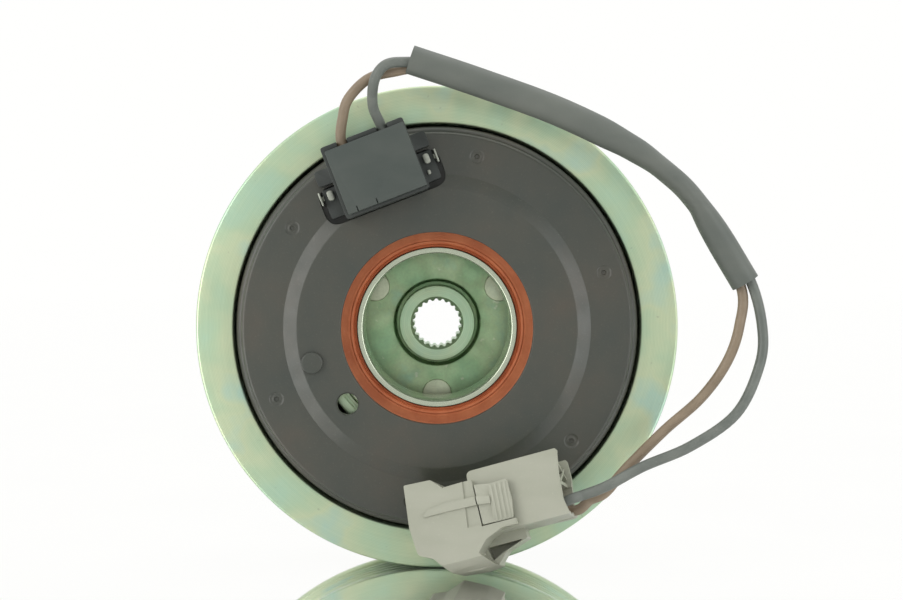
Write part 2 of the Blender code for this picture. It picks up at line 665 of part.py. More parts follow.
def leaf_spring(number, degrees):
    """A flat strip that runs square to its hub rivet's radius, out to its armature rivet."""
    frame = Matrix.Rotation(-math.radians(degrees), 4, "Y")
    outline = arc(HUB_RIVETS_AT, 0, SPRING_HALF_W, 180, 360, 5) + arc(
        HUB_RIVETS_AT, SPRING_REACH, SPRING_HALF_W, 0, 180, 5
    )
    name = f"leaf_spring_{number}"
    strip = slab(name, outline, SPRING_REAR_Y, SPRING_FRONT_Y, SPRING_STEEL, HUB, frame)
    ends = (polar(HUB_RIVETS_AT, degrees), polar(ARMATURE_RIVETS_AT, degrees + ARMATURE_RIVET_TURN))
    for end, place in enumerate(ends):
        hole_name = f"spring_hole_{number}_{end}"
        hole = pin(hole_name, SHANK_HOLE_R, SPRING_REAR_Y - OVERLAP, STOP_FRONT_Y, place)
        joined(strip, hole, "DIFFERENCE")


def stop_plate():
    """A three-armed plate over the springs, with a rubber stop at the end of each arm."""
    ring = [
        (HUB_RIVETS_AT, STOP_FRONT_Y),
        (HUB_RIVETS_AT, STOP_REAR_Y),
        (STOP_HOLE_R, STOP_REAR_Y),
        (STOP_HOLE_R, STOP_FRONT_Y),
    ]
    plate = turned("stop_plate", ring, ZINC, HUB)
    for i, degrees in enumerate(HUB_RIVET_DEG, 1):
        frame = Matrix.Rotation(-math.radians(degrees), 4, "Y")
        half = STOP_ARM_W / 2
        outline = (
            [(HUB_RIVETS_AT - 0.003, half + 0.002), (HUB_RIVETS_AT - 0.003, -half - 0.002)]
            + [(HUB_RIVETS_AT + 0.004, -half - 0.0014)]
            + arc(STOP_AT, 0, half, -90, 90, 6)
            + [(HUB_RIVETS_AT + 0.004, half + 0.0014)]
        )
        joined(plate, slab(f"stop_arm_{i}", outline, STOP_REAR_Y, STOP_FRONT_Y, place=frame), "UNION")
    for i, degrees in enumerate(HUB_RIVET_DEG, 1):
        holes = (("rivet", SHANK_HOLE_R, HUB_RIVETS_AT), ("stem", STOP_STEM_R + GAP, STOP_AT))
        for kind, radius, at in holes:
            name = f"stop_{kind}_hole_{i}"
            hole = pin(name, radius, STOP_REAR_Y - OVERLAP, STOP_FRONT_Y + OVERLAP, polar(at, degrees))
            joined(plate, hole, "DIFFERENCE")
        pad_rear, pad_front = ARMATURE_FRONT_Y + GAP, STOP_REAR_Y - GAP
        button = STOP_FRONT_Y + GAP
        stop = [
            (0, button + STOP_BUTTON_T),
            (STOP_BUTTON_R * 0.7, button + STOP_BUTTON_T),
            (STOP_BUTTON_R, button),
            (STOP_STEM_R, button),
            (STOP_STEM_R, pad_front),
            (STOP_PAD_R, pad_front),
            (STOP_PAD_R, pad_rear),
            (0, pad_rear),
        ]
        turned(f"rubber_stop_{i}", stop, BLACK_RUBBER, HUB, SMALL_STEPS, polar(STOP_AT, degrees))


# ---------------------------------------------------------------- terminal block

BLOCK_FRAME = Matrix.Rotation(-math.radians(BLOCK_DEG - 90), 4, "Y")


def on_block(across, y, outward):
    return BLOCK_FRAME @ Vector((across, y, outward))


def terminal_block():
    """A moulded box over the plate's opening, with a foot, a neck into the coil housing and two ears."""
    floor_y = -2 * GAP
    base = block(
        "terminal_base",
        (-BLOCK_HALF_T, BLOCK_REAR_Y, BLOCK_IN_N),
        (BLOCK_HALF_T, floor_y, BLOCK_OUT_N),
        BLACK_PLASTIC,
        STATOR,
        BLOCK_FRAME,
    )
    rim_floor_y = PLATFORM_H - 2 * GAP
    foot_half, foot_in, foot_out = (
        OPENING_HALF_T - FOOT_MARGIN,
        OPENING_IN_N + FOOT_MARGIN,
        OPENING_OUT_N - FOOT_MARGIN,
    )
    foot = rounded_box(-foot_half, foot_half, foot_in, foot_out, OPENING_CORNER - FOOT_MARGIN)
    pieces = (
        slab("block_foot", foot, PLATFORM_H - OVERLAP, CUP_REAR_Y - 2 * GAP, place=BLOCK_FRAME),
        block(
            "block_post",
            (-BLOCK_HALF_T + OVERLAP, floor_y - OVERLAP, foot_in + OVERLAP),
            (BLOCK_HALF_T - OVERLAP, PLATFORM_H, foot_out - OVERLAP),
            place=BLOCK_FRAME,
        ),
        block(
            "block_neck",
            (-NECK_HALF_T, PLATFORM_H, NECK_IN_N + 2 * GAP),
            (NECK_HALF_T, CUP_REAR_Y + CUP_FLOOR, NECK_OUT_N - 2 * GAP),
            place=BLOCK_FRAME,
        ),
        block(
            "block_pad",
            (-BLOCK_HALF_T + GAP, floor_y - OVERLAP, PLATFORM_FOOT_R + 0.0010),
            (BLOCK_HALF_T - GAP, rim_floor_y, BLOCK_OUT_N - 0.0025),
            place=BLOCK_FRAME,
        ),
        block(
            "block_ears",
            (-EAR_HALF_T, rim_floor_y - EAR_T, EAR_IN_N),
            (EAR_HALF_T, rim_floor_y - GAP, EAR_OUT_N),
            place=BLOCK_FRAME,
        ),
    )
    for piece in pieces:
        joined(base, piece, "UNION")
    pocket = block(
        "block_pocket",
        (-BLOCK_HALF_T + BLOCK_WALL, BLOCK_REAR_Y - OVERLAP, BLOCK_IN_N + BLOCK_WALL),
        (BLOCK_HALF_T - BLOCK_WALL, -BLOCK_FLOOR, BLOCK_OUT_N - BLOCK_WALL),
        place=BLOCK_FRAME,
    )
    joined(base, pocket, "DIFFERENCE")
    for side in (-1, 1):
        notch = block(
            f"block_notch_{side + 1}",
            (side * WIRE_SPREAD - WIRE_R - 2 * GAP, BLOCK_REAR_Y - OVERLAP, BLOCK_OUT_N - 2 * BLOCK_WALL),
            (side * WIRE_SPREAD + WIRE_R + 2 * GAP, WIRE_Y + WIRE_R + 2 * GAP, BLOCK_OUT_N + OVERLAP),
            place=BLOCK_FRAME,
        )
        joined(base, notch, "DIFFERENCE")
    block(
        "terminal_cover",
        (-COVER_HALF_T, BLOCK_REAR_Y - GAP - COVER_T, BLOCK_IN_N + COVER_SHORT),
        (COVER_HALF_T, BLOCK_REAR_Y - GAP, BLOCK_OUT_N - COVER_SHORT),
        BLACK_PLASTIC,
        STATOR,
        BLOCK_FRAME,
    )
    for name, side in (("terminal_clip_left", -1), ("terminal_clip_right", 1)):
        terminal_clip(name, side)
    diode = [
        (0, DIODE_L / 2),
        (DIODE_R, DIODE_L / 2),
        (DIODE_R, -DIODE_L / 2),
        (0, -DIODE_L / 2),
    ]
    body = turned("surge_diode", diode, BLACK_RUBBER, STATOR, SMALL_STEPS)
    along_block = Matrix.Rotation(math.radians(BLOCK_DEG - 90), 4, "Z").inverted()
    body.matrix_basis = Matrix.Translation(on_block(0, DIODE_Y, DIODE_N)) @ along_block @ TO_AXIS


def terminal_clip(name, side):
    """A strip end bent up out of the foot, beside the box."""
    low_n, high_n = CLIP_N
    rear = PLATFORM_H - OVERLAP - GAP - CLIP_T
    near, far = sorted((side * (CLIP_T_AT - CLIP_W / 2), side * (CLIP_T_AT + CLIP_W / 2)))
    strip = block(name, (near, rear, low_n), (far, rear + CLIP_T, high_n), TINNED, STATOR, BLOCK_FRAME)
    edge = side * (CLIP_T_AT + CLIP_W / 2)
    edge_low, edge_high = sorted((edge, edge - side * CLIP_T))
    tab_low = (edge_low, rear - CLIP_H, low_n)
    tab_high = (edge_high, rear + CLIP_T / 2, high_n)
    tab = block(name + "_tab", tab_low, tab_high, place=BLOCK_FRAME)
    joined(strip, tab, "UNION")


# ---------------------------------------------------------------- plug on the leads

PLUG_MID_Y = (PLUG_FRONT_Y + TAIL_REAR_Y) / 2
PLUG_MID = Matrix.Translation(((PLUG_NOSE_P + PLUG_TAIL_P) / 2, PLUG_MID_Y, PLUG_CORE_Q))
PLUG_ROLL = Matrix.Rotation(math.radians(PLUG_ROLL_DEG), 4, "X")
PLUG_YAW = Matrix.Rotation(math.radians(PLUG_YAW_DEG), 4, "Z")
PLUG_TILT = Matrix.Translation(PLUG_ORIGIN) @ Matrix.Rotation(-math.radians(PLUG_TILT_DEG), 4, "Y")
PLUG_FRAME = PLUG_TILT @ PLUG_MID @ PLUG_ROLL @ PLUG_YAW @ PLUG_MID.inverted()


def on_plug(along, y, across):
    return PLUG_FRAME @ Vector((along, y, across))


def pin_y(side):
    return PLUG_MID_Y + side * PIN_SPACING_Y / 2


def along_plug(name, profile, y, q, skin, parent):
    """A turned shape whose axis runs along the plug: profile points are (radius, p)."""
    made = turned(name, profile, skin, parent, SMALL_STEPS)
    to_plug = Matrix.Rotation(math.pi / 2, 4, "Y")
    made.matrix_basis = PLUG_FRAME @ Matrix.Translation((0, y, q)) @ to_plug
    return made


def plug():
    hood_outline = [
        (PLUG_NOSE_P, PLUG_TOP_Q),
        (-0.0093, PLUG_TOP_Q),
        (-0.0070, PLUG_WAIST_Q),
        (PLUG_STEP_P, PLUG_WAIST_Q),
        (PLUG_STEP_P, WING_TOP_Q),
        (WING_TIP_P - 0.0014, WING_TOP_Q),
        (WING_TIP_P, -0.0502),
        (0.0004, PLUG_BOTTOM_Q),
        (-0.0093, PLUG_BOTTOM_Q),
        (-0.0126, -0.0490),
        (PLUG_NOSE_P, -0.0480),
    ]
    body = slab("plug_housing", hood_outline, HOOD_REAR_Y, PLUG_FRONT_Y, GREY_PLASTIC, STATOR, PLUG_FRAME)
    thumb_room = block(
        "plug_thumb_room",
        (PLUG_STEP_P + GAP, HOOD_REAR_Y - OVERLAP, PLUG_BOTTOM_Q - OVERLAP),
        (WING_TIP_P + OVERLAP, HOOD_REAR_Y + THUMB_ROOM, PLUG_WAIST_Q),
        place=PLUG_FRAME,
    )
    joined(body, thumb_room, "DIFFERENCE")
    tail_outline = rounded_box(-OVERLAP, PLUG_TAIL_P, PLUG_TAIL_BOTTOM_Q, PLUG_TOP_Q, 0.0012, 3)
    tail = slab("plug_tail", tail_outline, TAIL_REAR_Y, PLUG_FRONT_Y + 0.0004, place=PLUG_FRAME)
    joined(body, tail, "UNION")
    cavity = block(
        "plug_mouth",
        (PLUG_NOSE_P - OVERLAP, HOOD_REAR_Y + HOOD_WALL, PLUG_BOTTOM_Q + 0.0070),
        (PLUG_NOSE_P + CAVITY_DEPTH, PLUG_FRONT_Y - HOOD_WALL, PLUG_WAIST_Q - HOOD_WALL),
        place=PLUG_FRAME,
    )
    joined(body, cavity, "DIFFERENCE")
    for number, side in ((1, -1), (2, 1)):
        y = pin_y(side)
        slot = block(
            f"plug_slot_{number}",
            (PLUG_NOSE_P + CAVITY_DEPTH - OVERLAP, y - PIN_T / 2 - GAP, WIRE_Q - PIN_W / 2 - GAP),
            (PIN_TAIL_P + OVERLAP, y + PIN_T / 2 + GAP, WIRE_Q + PIN_W / 2 + GAP),
            place=PLUG_FRAME,
        )
        joined(body, slot, "DIFFERENCE")
        mouth_p = PLUG_TAIL_P + OVERLAP
        hole = [(0, mouth_p), (WIRE_HOLE_R, mouth_p), (WIRE_HOLE_R, PIN_TAIL_P), (0, PIN_TAIL_P)]
        joined(body, along_plug(f"plug_wire_hole_{number}", hole, y, WIRE_Q, None, None), "DIFFERENCE")
        block(
            f"plug_pin_{number}",
            (PLUG_NOSE_P + PIN_TIP_GAP, y - PIN_T / 2, WIRE_Q - PIN_W / 2),
            (PIN_TAIL_P, y + PIN_T / 2, WIRE_Q + PIN_W / 2),
            TINNED,
            STATOR,
            PLUG_FRAME,
        )
        seal_r, hole_r = WIRE_HOLE_R - GAP, WIRE_R + GAP
        seal_end = PLUG_TAIL_P - 0.0030
        seal_start = seal_end - SEAL_L
        seal = [(seal_r, seal_end), (seal_r, seal_start), (hole_r, seal_start), (hole_r, seal_end)]
        along_plug(f"wire_seal_{number}", seal, y, WIRE_Q, SEAL_RUBBER, STATOR)
    lock_lever()


def lock_lever():
    """The latch tongue that a thumb presses: it bends at its root, on the hood's edge."""
    pivot = empty("lock_lever_axis", on_plug(LEVER_PIVOT_P, LEVER_PIVOT_Y, PLUG_CORE_Q), STATOR)
    to_pivot = Matrix.Translation(pivot.location).inverted() @ PLUG_FRAME
    rear = HOOD_REAR_Y - LEVER_T
    low, high = (LEVER_P[0], rear, LEVER_Q[0]), (LEVER_P[1], HOOD_REAR_Y, LEVER_Q[1])
    tongue = block("lock_lever", low, high, GREY_PLASTIC, pivot, to_pivot)
    for i in range(LEVER_RIBS):
        p = LEVER_P[1] - 0.0006 - 0.0013 * i
        rib = block(
            f"lever_rib_{i}",
            (p - 0.0004, rear - 0.0005, LEVER_Q[0] + 0.0006),
            (p + 0.0003, rear + LEVER_T / 2, LEVER_Q[1] - 0.0006),
            place=PLUG_FRAME,
        )
        joined(tongue, rib, "UNION")


# ---------------------------------------------------------------- leads and sleeve

# The sleeve's run round the rim: (X, Y, Z) stations of its centre line, in millimetres.
SLEEVE_RUN = (
    (-6.1, -11.5, 61.5),
    (9.3, -11.5, 56.4),
    (27.9, -11.5, 49.6),
    (44.3, -11.5, 41.5),
    (53.6, -12.0, 34.7),
    (58.6, -12.0, 29.5),
    (62.2, -12.0, 24.0),
    (70.1, -12.0, 10.9),
)
# How far the pair of wires is turned in the sleeve at each station: 90 puts one behind the other.
PAIR_TURN_DEG = (90, 90, 90, 90, 90, 75, 45, 15)
# Each lead from the block to the sleeve, and from the sleeve to the plug, in the same way.
BROWN_START = ((-21.7, -6.8, 48.2), (-20.3, -8.0, 52.8), (-15.7, -9.1, 57.5), (-10.0, -9.8, 59.3))
BLACK_START = ((-14.7, -7.8, 51.4), (-14.2, -11.9, 56.7), (-11.6, -13.2, 59.9), (-8.8, -12.9, 61.2))
BROWN_END = (
    (68.8, -12.0, 1.1),
    (66.0, -11.8, -7.2),
    (60.2, -11.8, -15.3),
    (51.8, -12.2, -22.7),
    (42.9, -13.2, -31.4),
    (37.8, -14.4, -36.4),
)
BLACK_END = (
    (74.0, -12.6, -0.2),
    (72.9, -13.2, -8.9),
    (67.7, -14.2, -18.9),
    (57.3, -15.6, -26.0),
    (46.4, -17.2, -30.4),
    (38.1, -19.0, -35.0),
)


def in_metres(run):
    return [Vector(point) / 1000 for point in run]


def smooth_run(points, steps=WIRE_STEPS):
    """A Catmull-Rom curve through the points, with this many steps between each two."""
    ends = [points[0] * 2 - points[1], *points, points[-1] * 2 - points[-2]]
    run = []
    for a, b, c, d in zip(ends, ends[1:], ends[2:], ends[3:]):
        for i in range(steps):
            t = i / steps
            square, cube = a * 2 - b * 5 + c * 4 - d, b * 3 - a - c * 3 + d
            run.append((b * 2 + (c - a) * t + square * t**2 + cube * t**3) / 2)
    return run + [points[-1]]


def beside(points, offset):
    """One wire's run in the sleeve: this far from the centre line, turned at each station."""
    moved = []
    for i, (point, degrees) in enumerate(zip(points, PAIR_TURN_DEG)):
        heading = points[min(i + 1, len(points) - 1)] - points[max(i - 1, 0)]
        across = heading.cross(Vector((0, 1, 0))).normalized()
        turn = math.radians(degrees)
        moved.append(point + offset * (across * math.cos(turn) - Vector((0, math.sin(turn), 0))))
    return moved


def tube(name, points, radius, capped):
    """A round bar, or an open tube, along a run of points, as a mesh."""
    curve = polyline(name, points, closed=False)
    curve.dimensions = "3D"
    curve.bevel_depth = radius
    curve.bevel_resolution = BEVEL_RESOLUTION
    curve.use_fill_caps = capped
    return mesh_of(curve)


def leads():
    sleeve = smooth_run(in_metres(SLEEVE_RUN))
    runs = (
        ("lead_wire_brown", BROWN_JACKET, -1, -1, BROWN_START, BROWN_END, 1),
        ("lead_wire_black", BLACK_JACKET, 1, 1, BLACK_START, BLACK_END, -1),
    )
    for name, skin, block_side, sleeve_side, start, end, plug_side in runs:
        y = pin_y(plug_side)
        root = [
            on_block(block_side * WIRE_SPREAD, WIRE_Y, BLOCK_OUT_N - 2.4 * BLOCK_WALL),
            on_block(block_side * WIRE_SPREAD, WIRE_Y, BLOCK_OUT_N + 0.0005),
        ]
        plugged = [
            on_plug(PLUG_TAIL_P + 0.0045, y, WIRE_Q),
            on_plug(PLUG_TAIL_P, y, WIRE_Q),
            on_plug(PIN_TAIL_P + 0.0008, y, WIRE_Q),
        ]
        inside = beside(sleeve[::WIRE_STEPS], sleeve_side * SLEEVE_SPREAD)
        run = smooth_run(root + in_metres(start) + inside + in_metres(end) + plugged)
        add(name, tube(name, run, WIRE_R, True), skin, STATOR)
    shell = add("wire_sleeve", tube("wire_sleeve", sleeve, SLEEVE_R, False), BLACK_PLASTIC, STATOR)
    modified(shell, "SOLIDIFY", thickness=SLEEVE_WALL, offset=-1.0, use_even_offset=True)


def finish():
    """Keeps each part's modified shape as its own mesh, smooth except at its real edges."""
    bpy.context.view_layer.update()
    graph = bpy.context.evaluated_depsgraph_get()
    parts = [obj for obj in PARTS.objects if obj.type == "MESH"]
    shapes = [bpy.data.meshes.new_from_object(obj.evaluated_get(graph)) for obj in parts]
    for obj, shape in zip(parts, shapes):
        obj.modifiers.clear()
        obj.data = shape
        shape.shade_smooth()
        shape.set_sharp_from_angle(angle=SMOOTH_BELOW)


mounting_plate()
coil_housing()
coil()
bearing()
rotor()
armature()
hub()
stop_plate()
terminal_block()
plug()
leads()
finish()
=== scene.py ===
"""Looks of the electromagnetic compressor clutch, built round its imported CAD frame.

Metres, +Z up. The shaft axis is Y and the compressor's side is -Y. Lengths along Y are given from the
face of the coil's mounting plate, and every mesh is placed there in the frame of the CAD, whose origin is
further along the axis. Angles round the axis are seen from the compressor, from +X towards +Z.
"""

import math

import bmesh
import bpy
from mathutils import Matrix, Vector


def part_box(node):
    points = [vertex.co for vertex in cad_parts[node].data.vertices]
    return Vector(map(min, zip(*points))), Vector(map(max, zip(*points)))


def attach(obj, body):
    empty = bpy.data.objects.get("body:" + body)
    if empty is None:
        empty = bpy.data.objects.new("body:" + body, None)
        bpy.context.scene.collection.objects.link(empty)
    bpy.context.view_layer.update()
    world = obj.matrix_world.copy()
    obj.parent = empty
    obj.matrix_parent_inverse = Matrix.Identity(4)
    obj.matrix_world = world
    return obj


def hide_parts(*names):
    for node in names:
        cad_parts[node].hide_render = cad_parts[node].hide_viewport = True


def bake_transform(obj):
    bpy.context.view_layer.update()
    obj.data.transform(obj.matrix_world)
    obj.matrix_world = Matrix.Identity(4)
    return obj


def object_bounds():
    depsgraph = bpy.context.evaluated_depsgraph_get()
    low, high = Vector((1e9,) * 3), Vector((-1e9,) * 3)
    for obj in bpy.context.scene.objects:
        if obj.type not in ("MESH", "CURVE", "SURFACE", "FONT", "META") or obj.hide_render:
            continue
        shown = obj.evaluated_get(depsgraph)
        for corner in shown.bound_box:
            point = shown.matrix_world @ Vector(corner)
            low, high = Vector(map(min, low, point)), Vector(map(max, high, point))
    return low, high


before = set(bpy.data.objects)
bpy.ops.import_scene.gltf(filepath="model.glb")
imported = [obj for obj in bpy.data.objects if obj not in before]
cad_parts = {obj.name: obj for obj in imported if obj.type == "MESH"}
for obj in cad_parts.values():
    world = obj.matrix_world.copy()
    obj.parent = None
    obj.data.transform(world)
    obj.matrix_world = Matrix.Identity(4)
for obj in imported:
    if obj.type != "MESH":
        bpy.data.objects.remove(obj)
CAD_BOX = [list(corner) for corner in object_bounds()]

# ---- Where the mounting face is in the CAD's frame ----
MOUNTING_FACE = Vector((0, -0.0198, 0))

# ---- Fineness ----
RING_STEPS, MEDIUM_STEPS, COARSE_STEPS, SMALL_STEPS = 192, 128, 96, 48
SHARP_ABOVE, STRAIGHT_ABOVE = math.radians(38), math.radians(172)
EDGE = 0.00025

# ---- Mounting plate ----
PLATE_BORE_R, PLATE_R, PLATE_T = 0.0225, 0.046, 0.0023
PLATFORM_R, PLATFORM_FOOT_R, PLATFORM_H = 0.0328, 0.0361, 0.0016
PILOT_HOLE = (0.0025, 0.0274, 220.3)
LOCATOR = (0.00255, 0.0303, 195.4)
LOCATOR_H = 0.0011
WELD_MARK_AT, WELD_MARK_R, WELD_PITCH_DEG, WELD_FIRST_DEG = 0.0412, 0.00175, 58.5, -98.6
WELD_MARKS = (0, 1, 2, 3, 5.17, 4.17)
WELD_DEPTH = 0.00022

# ---- Field coil ----
CUP_R, CUP_BORE_R, CUP_REAR_Y, CUP_FRONT_Y = 0.0475, 0.0304, 0.0042, 0.0282
CUP_OUTER_WALL, CUP_INNER_WALL, CUP_FLOOR = 0.0032, 0.003, 0.003
WINDING_TURNS, WINDING_LAYERS, WINDING_IN_R = 18, 9, 0.0347

# ---- Bearing, 35 x 52 x 20 mm ----
BEARING_BORE_R, BEARING_R, BEARING_W, BEARING_REAR_Y = 0.0175, 0.026, 0.02, 0.006
BALL_R, BALLS_PER_ROW, BALL_PITCH_R, ROW_OFFSET = 0.00245, 11, 0.02175, 0.0034
INNER_END_R, OUTER_END_R, END_STEP = 0.0189, 0.0244, 0.0024

# ---- Rotor ----
RIM_R, RIM_BORE_R, RIM_REAR_Y, RIM_FRONT_Y = 0.057, 0.0482, 0.0052, 0.0324
GROOVES, GROOVE_PITCH, GROOVE_DEPTH, CREST_R = 6, 0.00356, 0.0029, 0.0565
GROOVE_CREST_W, GROOVE_ROOT_W = 0.001, 0.0008
DISC_R, DISC_BACK_Y, FRICTION_Y = 0.0498, 0.0294, 0.0354
SEAT_TUBE_R, SEAT_TUBE_REAR_Y, STAKE_R, SHOULDER_R = 0.0294, 0.0046, 0.0272, 0.024
ROTOR_SLOTS = ((0.0328, 0.002, 0), (0.0445, 0.0022, 30.0))
SLOTS_PER_RING, SLOT_ARC_DEG = 6, 44.0

# ---- Armature, springs and hub ----
AIR_GAP = 0.0005
ARMATURE_BORE_R, ARMATURE_R, ARMATURE_T = 0.0274, 0.048, 0.005
ARMATURE_SLOT = (0.0402, 0.002, 15.0)
ARMATURE_REAR_Y = FRICTION_Y + AIR_GAP
ARMATURE_FRONT_Y = ARMATURE_REAR_Y + ARMATURE_T
BOSS_R, BOSS_REAR_Y, BOSS_FRONT_Y = 0.0095, 0.03, 0.046
FLANGE_R, FLANGE_REAR_Y, BOSS_GROOVE_R, BOSS_GROOVE_D = 0.0246, 0.0355, 0.0107, 0.0038
SPLINE_TEETH, SPLINE_MAJOR_R, SPLINE_MINOR_R = 22, 0.0061, 0.0056
SPLINE_CHAMFER_R, SPLINE_CHAMFER_D = 0.00665, 0.0012
SEAT_BORE_R, SEAT_BORE_D = 0.0076, 0.0028
HUB_RIVETS_AT, ARMATURE_RIVETS_AT, HUB_RIVET_DEG = 0.018, 0.0333, (30.0, 150.0, 270.0)
REAR_HEAD_R, REAR_HEAD_T = 0.0037, 0.0007
FRONT_HEAD_R, FRONT_HEAD_T = 0.0042, 0.0014
SUNK_HEAD_R, SUNK_HEAD_T, SUNK_HOLE_R, SUNK_HOLE_D = 0.004, 0.0015, 0.0043, 0.0023
SHANK_R, SHANK_HOLE_R = 0.0024, 0.0026
SPRING_REAR_Y, SPRING_T, SPRING_HALF_W = ARMATURE_FRONT_Y + 0.00015, 0.0008, 0.0052
SPRING_FRONT_Y = SPRING_REAR_Y + SPRING_T
STOP_REAR_Y = SPRING_FRONT_Y + 0.00015
STOP_FRONT_Y = STOP_REAR_Y + 0.0016
STOP_HOLE_R, STOP_ARM_W, STOP_AT = 0.0102, 0.009, 0.0312
STOP_PAD_R, STOP_STEM_R, STOP_BUTTON_R = 0.0036, 0.0018, 0.003
SPRING_REACH = math.sqrt(ARMATURE_RIVETS_AT**2 - HUB_RIVETS_AT**2)
ARMATURE_RIVET_TURN = math.degrees(math.acos(HUB_RIVETS_AT / ARMATURE_RIVETS_AT))

# ---- Terminal block ----
BLOCK_DEG = 111.1
BLOCK_HALF_T, BLOCK_IN_N, BLOCK_OUT_N, BLOCK_REAR_Y = 0.0101, 0.031, 0.0484, -0.0086
LID_LEFT_T, LID_RIGHT_T, LID_IN_N, LID_OUT_N = -0.0093, 0.0099, 0.0318, 0.0472
LID_SLITS_T = (-0.0069, -0.0021)
BLOCK_WALL, BLOCK_FLOOR, COVER_T = 0.0012, 0.0017, 0.0014
OPENING_HALF_T, OPENING_IN_N, OPENING_OUT_N, OPENING_CORNER = 0.015, 0.0308, 0.04, 0.0035
DIODE_R, DIODE_L, DIODE_N, DIODE_Y = 0.0013, 0.0058, 0.0362, -0.0052

# ---- Leads ----
WIRE_R, WIRE_Y, WIRE_SPREAD = 0.0012, -0.0058, 0.00485
SLEEVE_R, SLEEVE_WALL, SLEEVE_SPREAD = 0.00335, 0.0006, 0.00126
WIRE_SIDES, SLEEVE_SIDES, RUN_STEPS = 20, 32, 8

# ---- Plug ----
PLUG_ORIGIN = (0.0013, 0, -0.0012)
PLUG_TILT_DEG, PLUG_ROLL_DEG, PLUG_YAW_DEG = 13.5, -15.0, -9.0
PLUG_NOSE_P, PLUG_TAIL_P = -0.0158, 0.0206
PLUG_FRONT_Y, HOOD_REAR_Y, TAIL_REAR_Y = -0.0062, -0.0213, -0.0193
PLUG_CORE_Q, WIRE_Q, PIN_SPACING_Y, PIN_TAIL_P = -0.0402, -0.0446, 0.005, 0.0075
HOOD_WALL = 0.0013
LEVER_ROOT_P = 0.00015

# ---- Camera and light ----
CAMERA_DISTANCE, CAMERA_RISE_DEG = 0.45, 2.5
CAMERA_LENS, SENSOR_W = 75.9, 36.0
CAMERA_PITCH_DEG, CAMERA_YAW_DEG = -1.675, -0.434
FRONT_SHADE = 0.8
FLOOR_MIRROR, FLOOR_ROUGHNESS = 0.96, 0.03
# Name, place, size, power and tint of each softbox, all of them turned to the object.
SOFTBOXES = (
    ("left_softbox", (-0.7, -0.55, 0.18), (0.4, 0.7), 2.6, (1.0, 0.99, 0.97)),
    ("right_softbox", (0.7, -0.5, 0.12), (0.35, 0.7), 2.0, (0.97, 0.99, 1.0)),
    ("top_softbox", (0, 0.1, 0.8), (0.9, 0.6), 1.6, (1.0, 1.0, 1.0)),
)


# ==== Meshes ====

ORIGIN = Vector((0, 0, 0))


def mesh_object(name, bm):
    """A shown piece from a bmesh, smooth except at its real edges."""
    bmesh.ops.remove_doubles(bm, verts=bm.verts, dist=1e-7)
    bmesh.ops.recalc_face_normals(bm, faces=bm.faces)
    mesh = bpy.data.meshes.new(name)
    bm.to_mesh(mesh)
    bm.free()
    mesh.shade_smooth()
    mesh.set_sharp_from_angle(angle=SHARP_ABOVE)
    obj = bpy.data.objects.new(name, mesh)
    obj.location = MOUNTING_FACE
    bpy.context.scene.collection.objects.link(obj)
    return obj


def node_box(node):
    """A CAD node's lowest and highest corners, measured from the mounting face."""
    return [corner - MOUNTING_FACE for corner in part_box(node)]


def polar(radius, degrees, y=0.0):
    angle = math.radians(degrees)
    return Vector((radius * math.cos(angle), y, radius * math.sin(angle)))


def rounded(points, radius, steps=3, closed=True):
    """A flat outline with each corner turned into a small arc. A corner may state its own radius as a
    third number."""
    made = []
    for i, point in enumerate(points):
        here = Vector(point[:2])
        back = Vector(points[i - 1][:2]) - here
        ahead = Vector(points[(i + 1) % len(points)][:2]) - here
        wanted = point[2] if len(point) > 2 else radius
        angle = back.angle(ahead, math.pi)
        free_end = not closed and i in (0, len(points) - 1)
        if free_end or wanted <= 0 or angle > STRAIGHT_ABOVE:
            made.append(tuple(here))
            continue
        trim = min(wanted / math.tan(angle / 2), back.length * 0.45, ahead.length * 0.45)
        start, end = here + back.normalized() * trim, here + ahead.normalized() * trim
        for step in range(steps + 1):
            t = step / steps
            made.append(tuple(start * (1 - t) ** 2 + here * (2 * t * (1 - t)) + end * t**2))
    return made


def bridge(bm, near, far, closed=True):
    """Quads from one loop, or open run, of points to the next."""
    for i in range(len(near) if closed else len(near) - 1):
        j = (i + 1) % len(near)
        bm.faces.new((near[i], near[j], far[j], far[i]))


def lathe(bm, profile, steps, centre=ORIGIN):
    """Turns (radius, Y) points round a line along Y. A profile off the axis is a closed loop."""
    rings = []
    for i in range(steps):
        c, s = math.cos(2 * math.pi * i / steps), math.sin(2 * math.pi * i / steps)
        rings.append([bm.verts.new(centre + Vector((r * c, y, r * s))) for r, y in profile])
    for near, far in zip(rings, rings[1:] + rings[:1]):
        bridge(bm, near, far, profile[0][0] > 0)


def turned(name, profile, steps=RING_STEPS, centre=ORIGIN):
    bm = bmesh.new()
    lathe(bm, profile, steps, centre)
    return mesh_object(name, bm)


def bore(radius, y_low, y_high):
    """The profile of a plain hole's cutter."""
    return [(0, y_high), (radius, y_high), (radius, y_low), (0, y_low)]


def solid(bm, low, high):
    """A closed solid between two matching loops of places."""
    low, high = ([bm.verts.new(place) for place in loop] for loop in (low, high))
    bm.faces.new(low)
    bm.faces.new(high[::-1])
    bridge(bm, high, low)


def prism(bm, outline, y_rear, y_front, frame=Matrix.Identity(4)):
    """A flat (across, outward) outline with thickness along Y, in a local frame."""
    solid(bm, *([frame @ Vector((a, y, b)) for a, b in outline] for y in (y_rear, y_front)))


def plate(name, outline, y_rear, y_front, frame=Matrix.Identity(4)):
    bm = bmesh.new()
    prism(bm, outline, y_rear, y_front, frame)
    return mesh_object(name, bm)


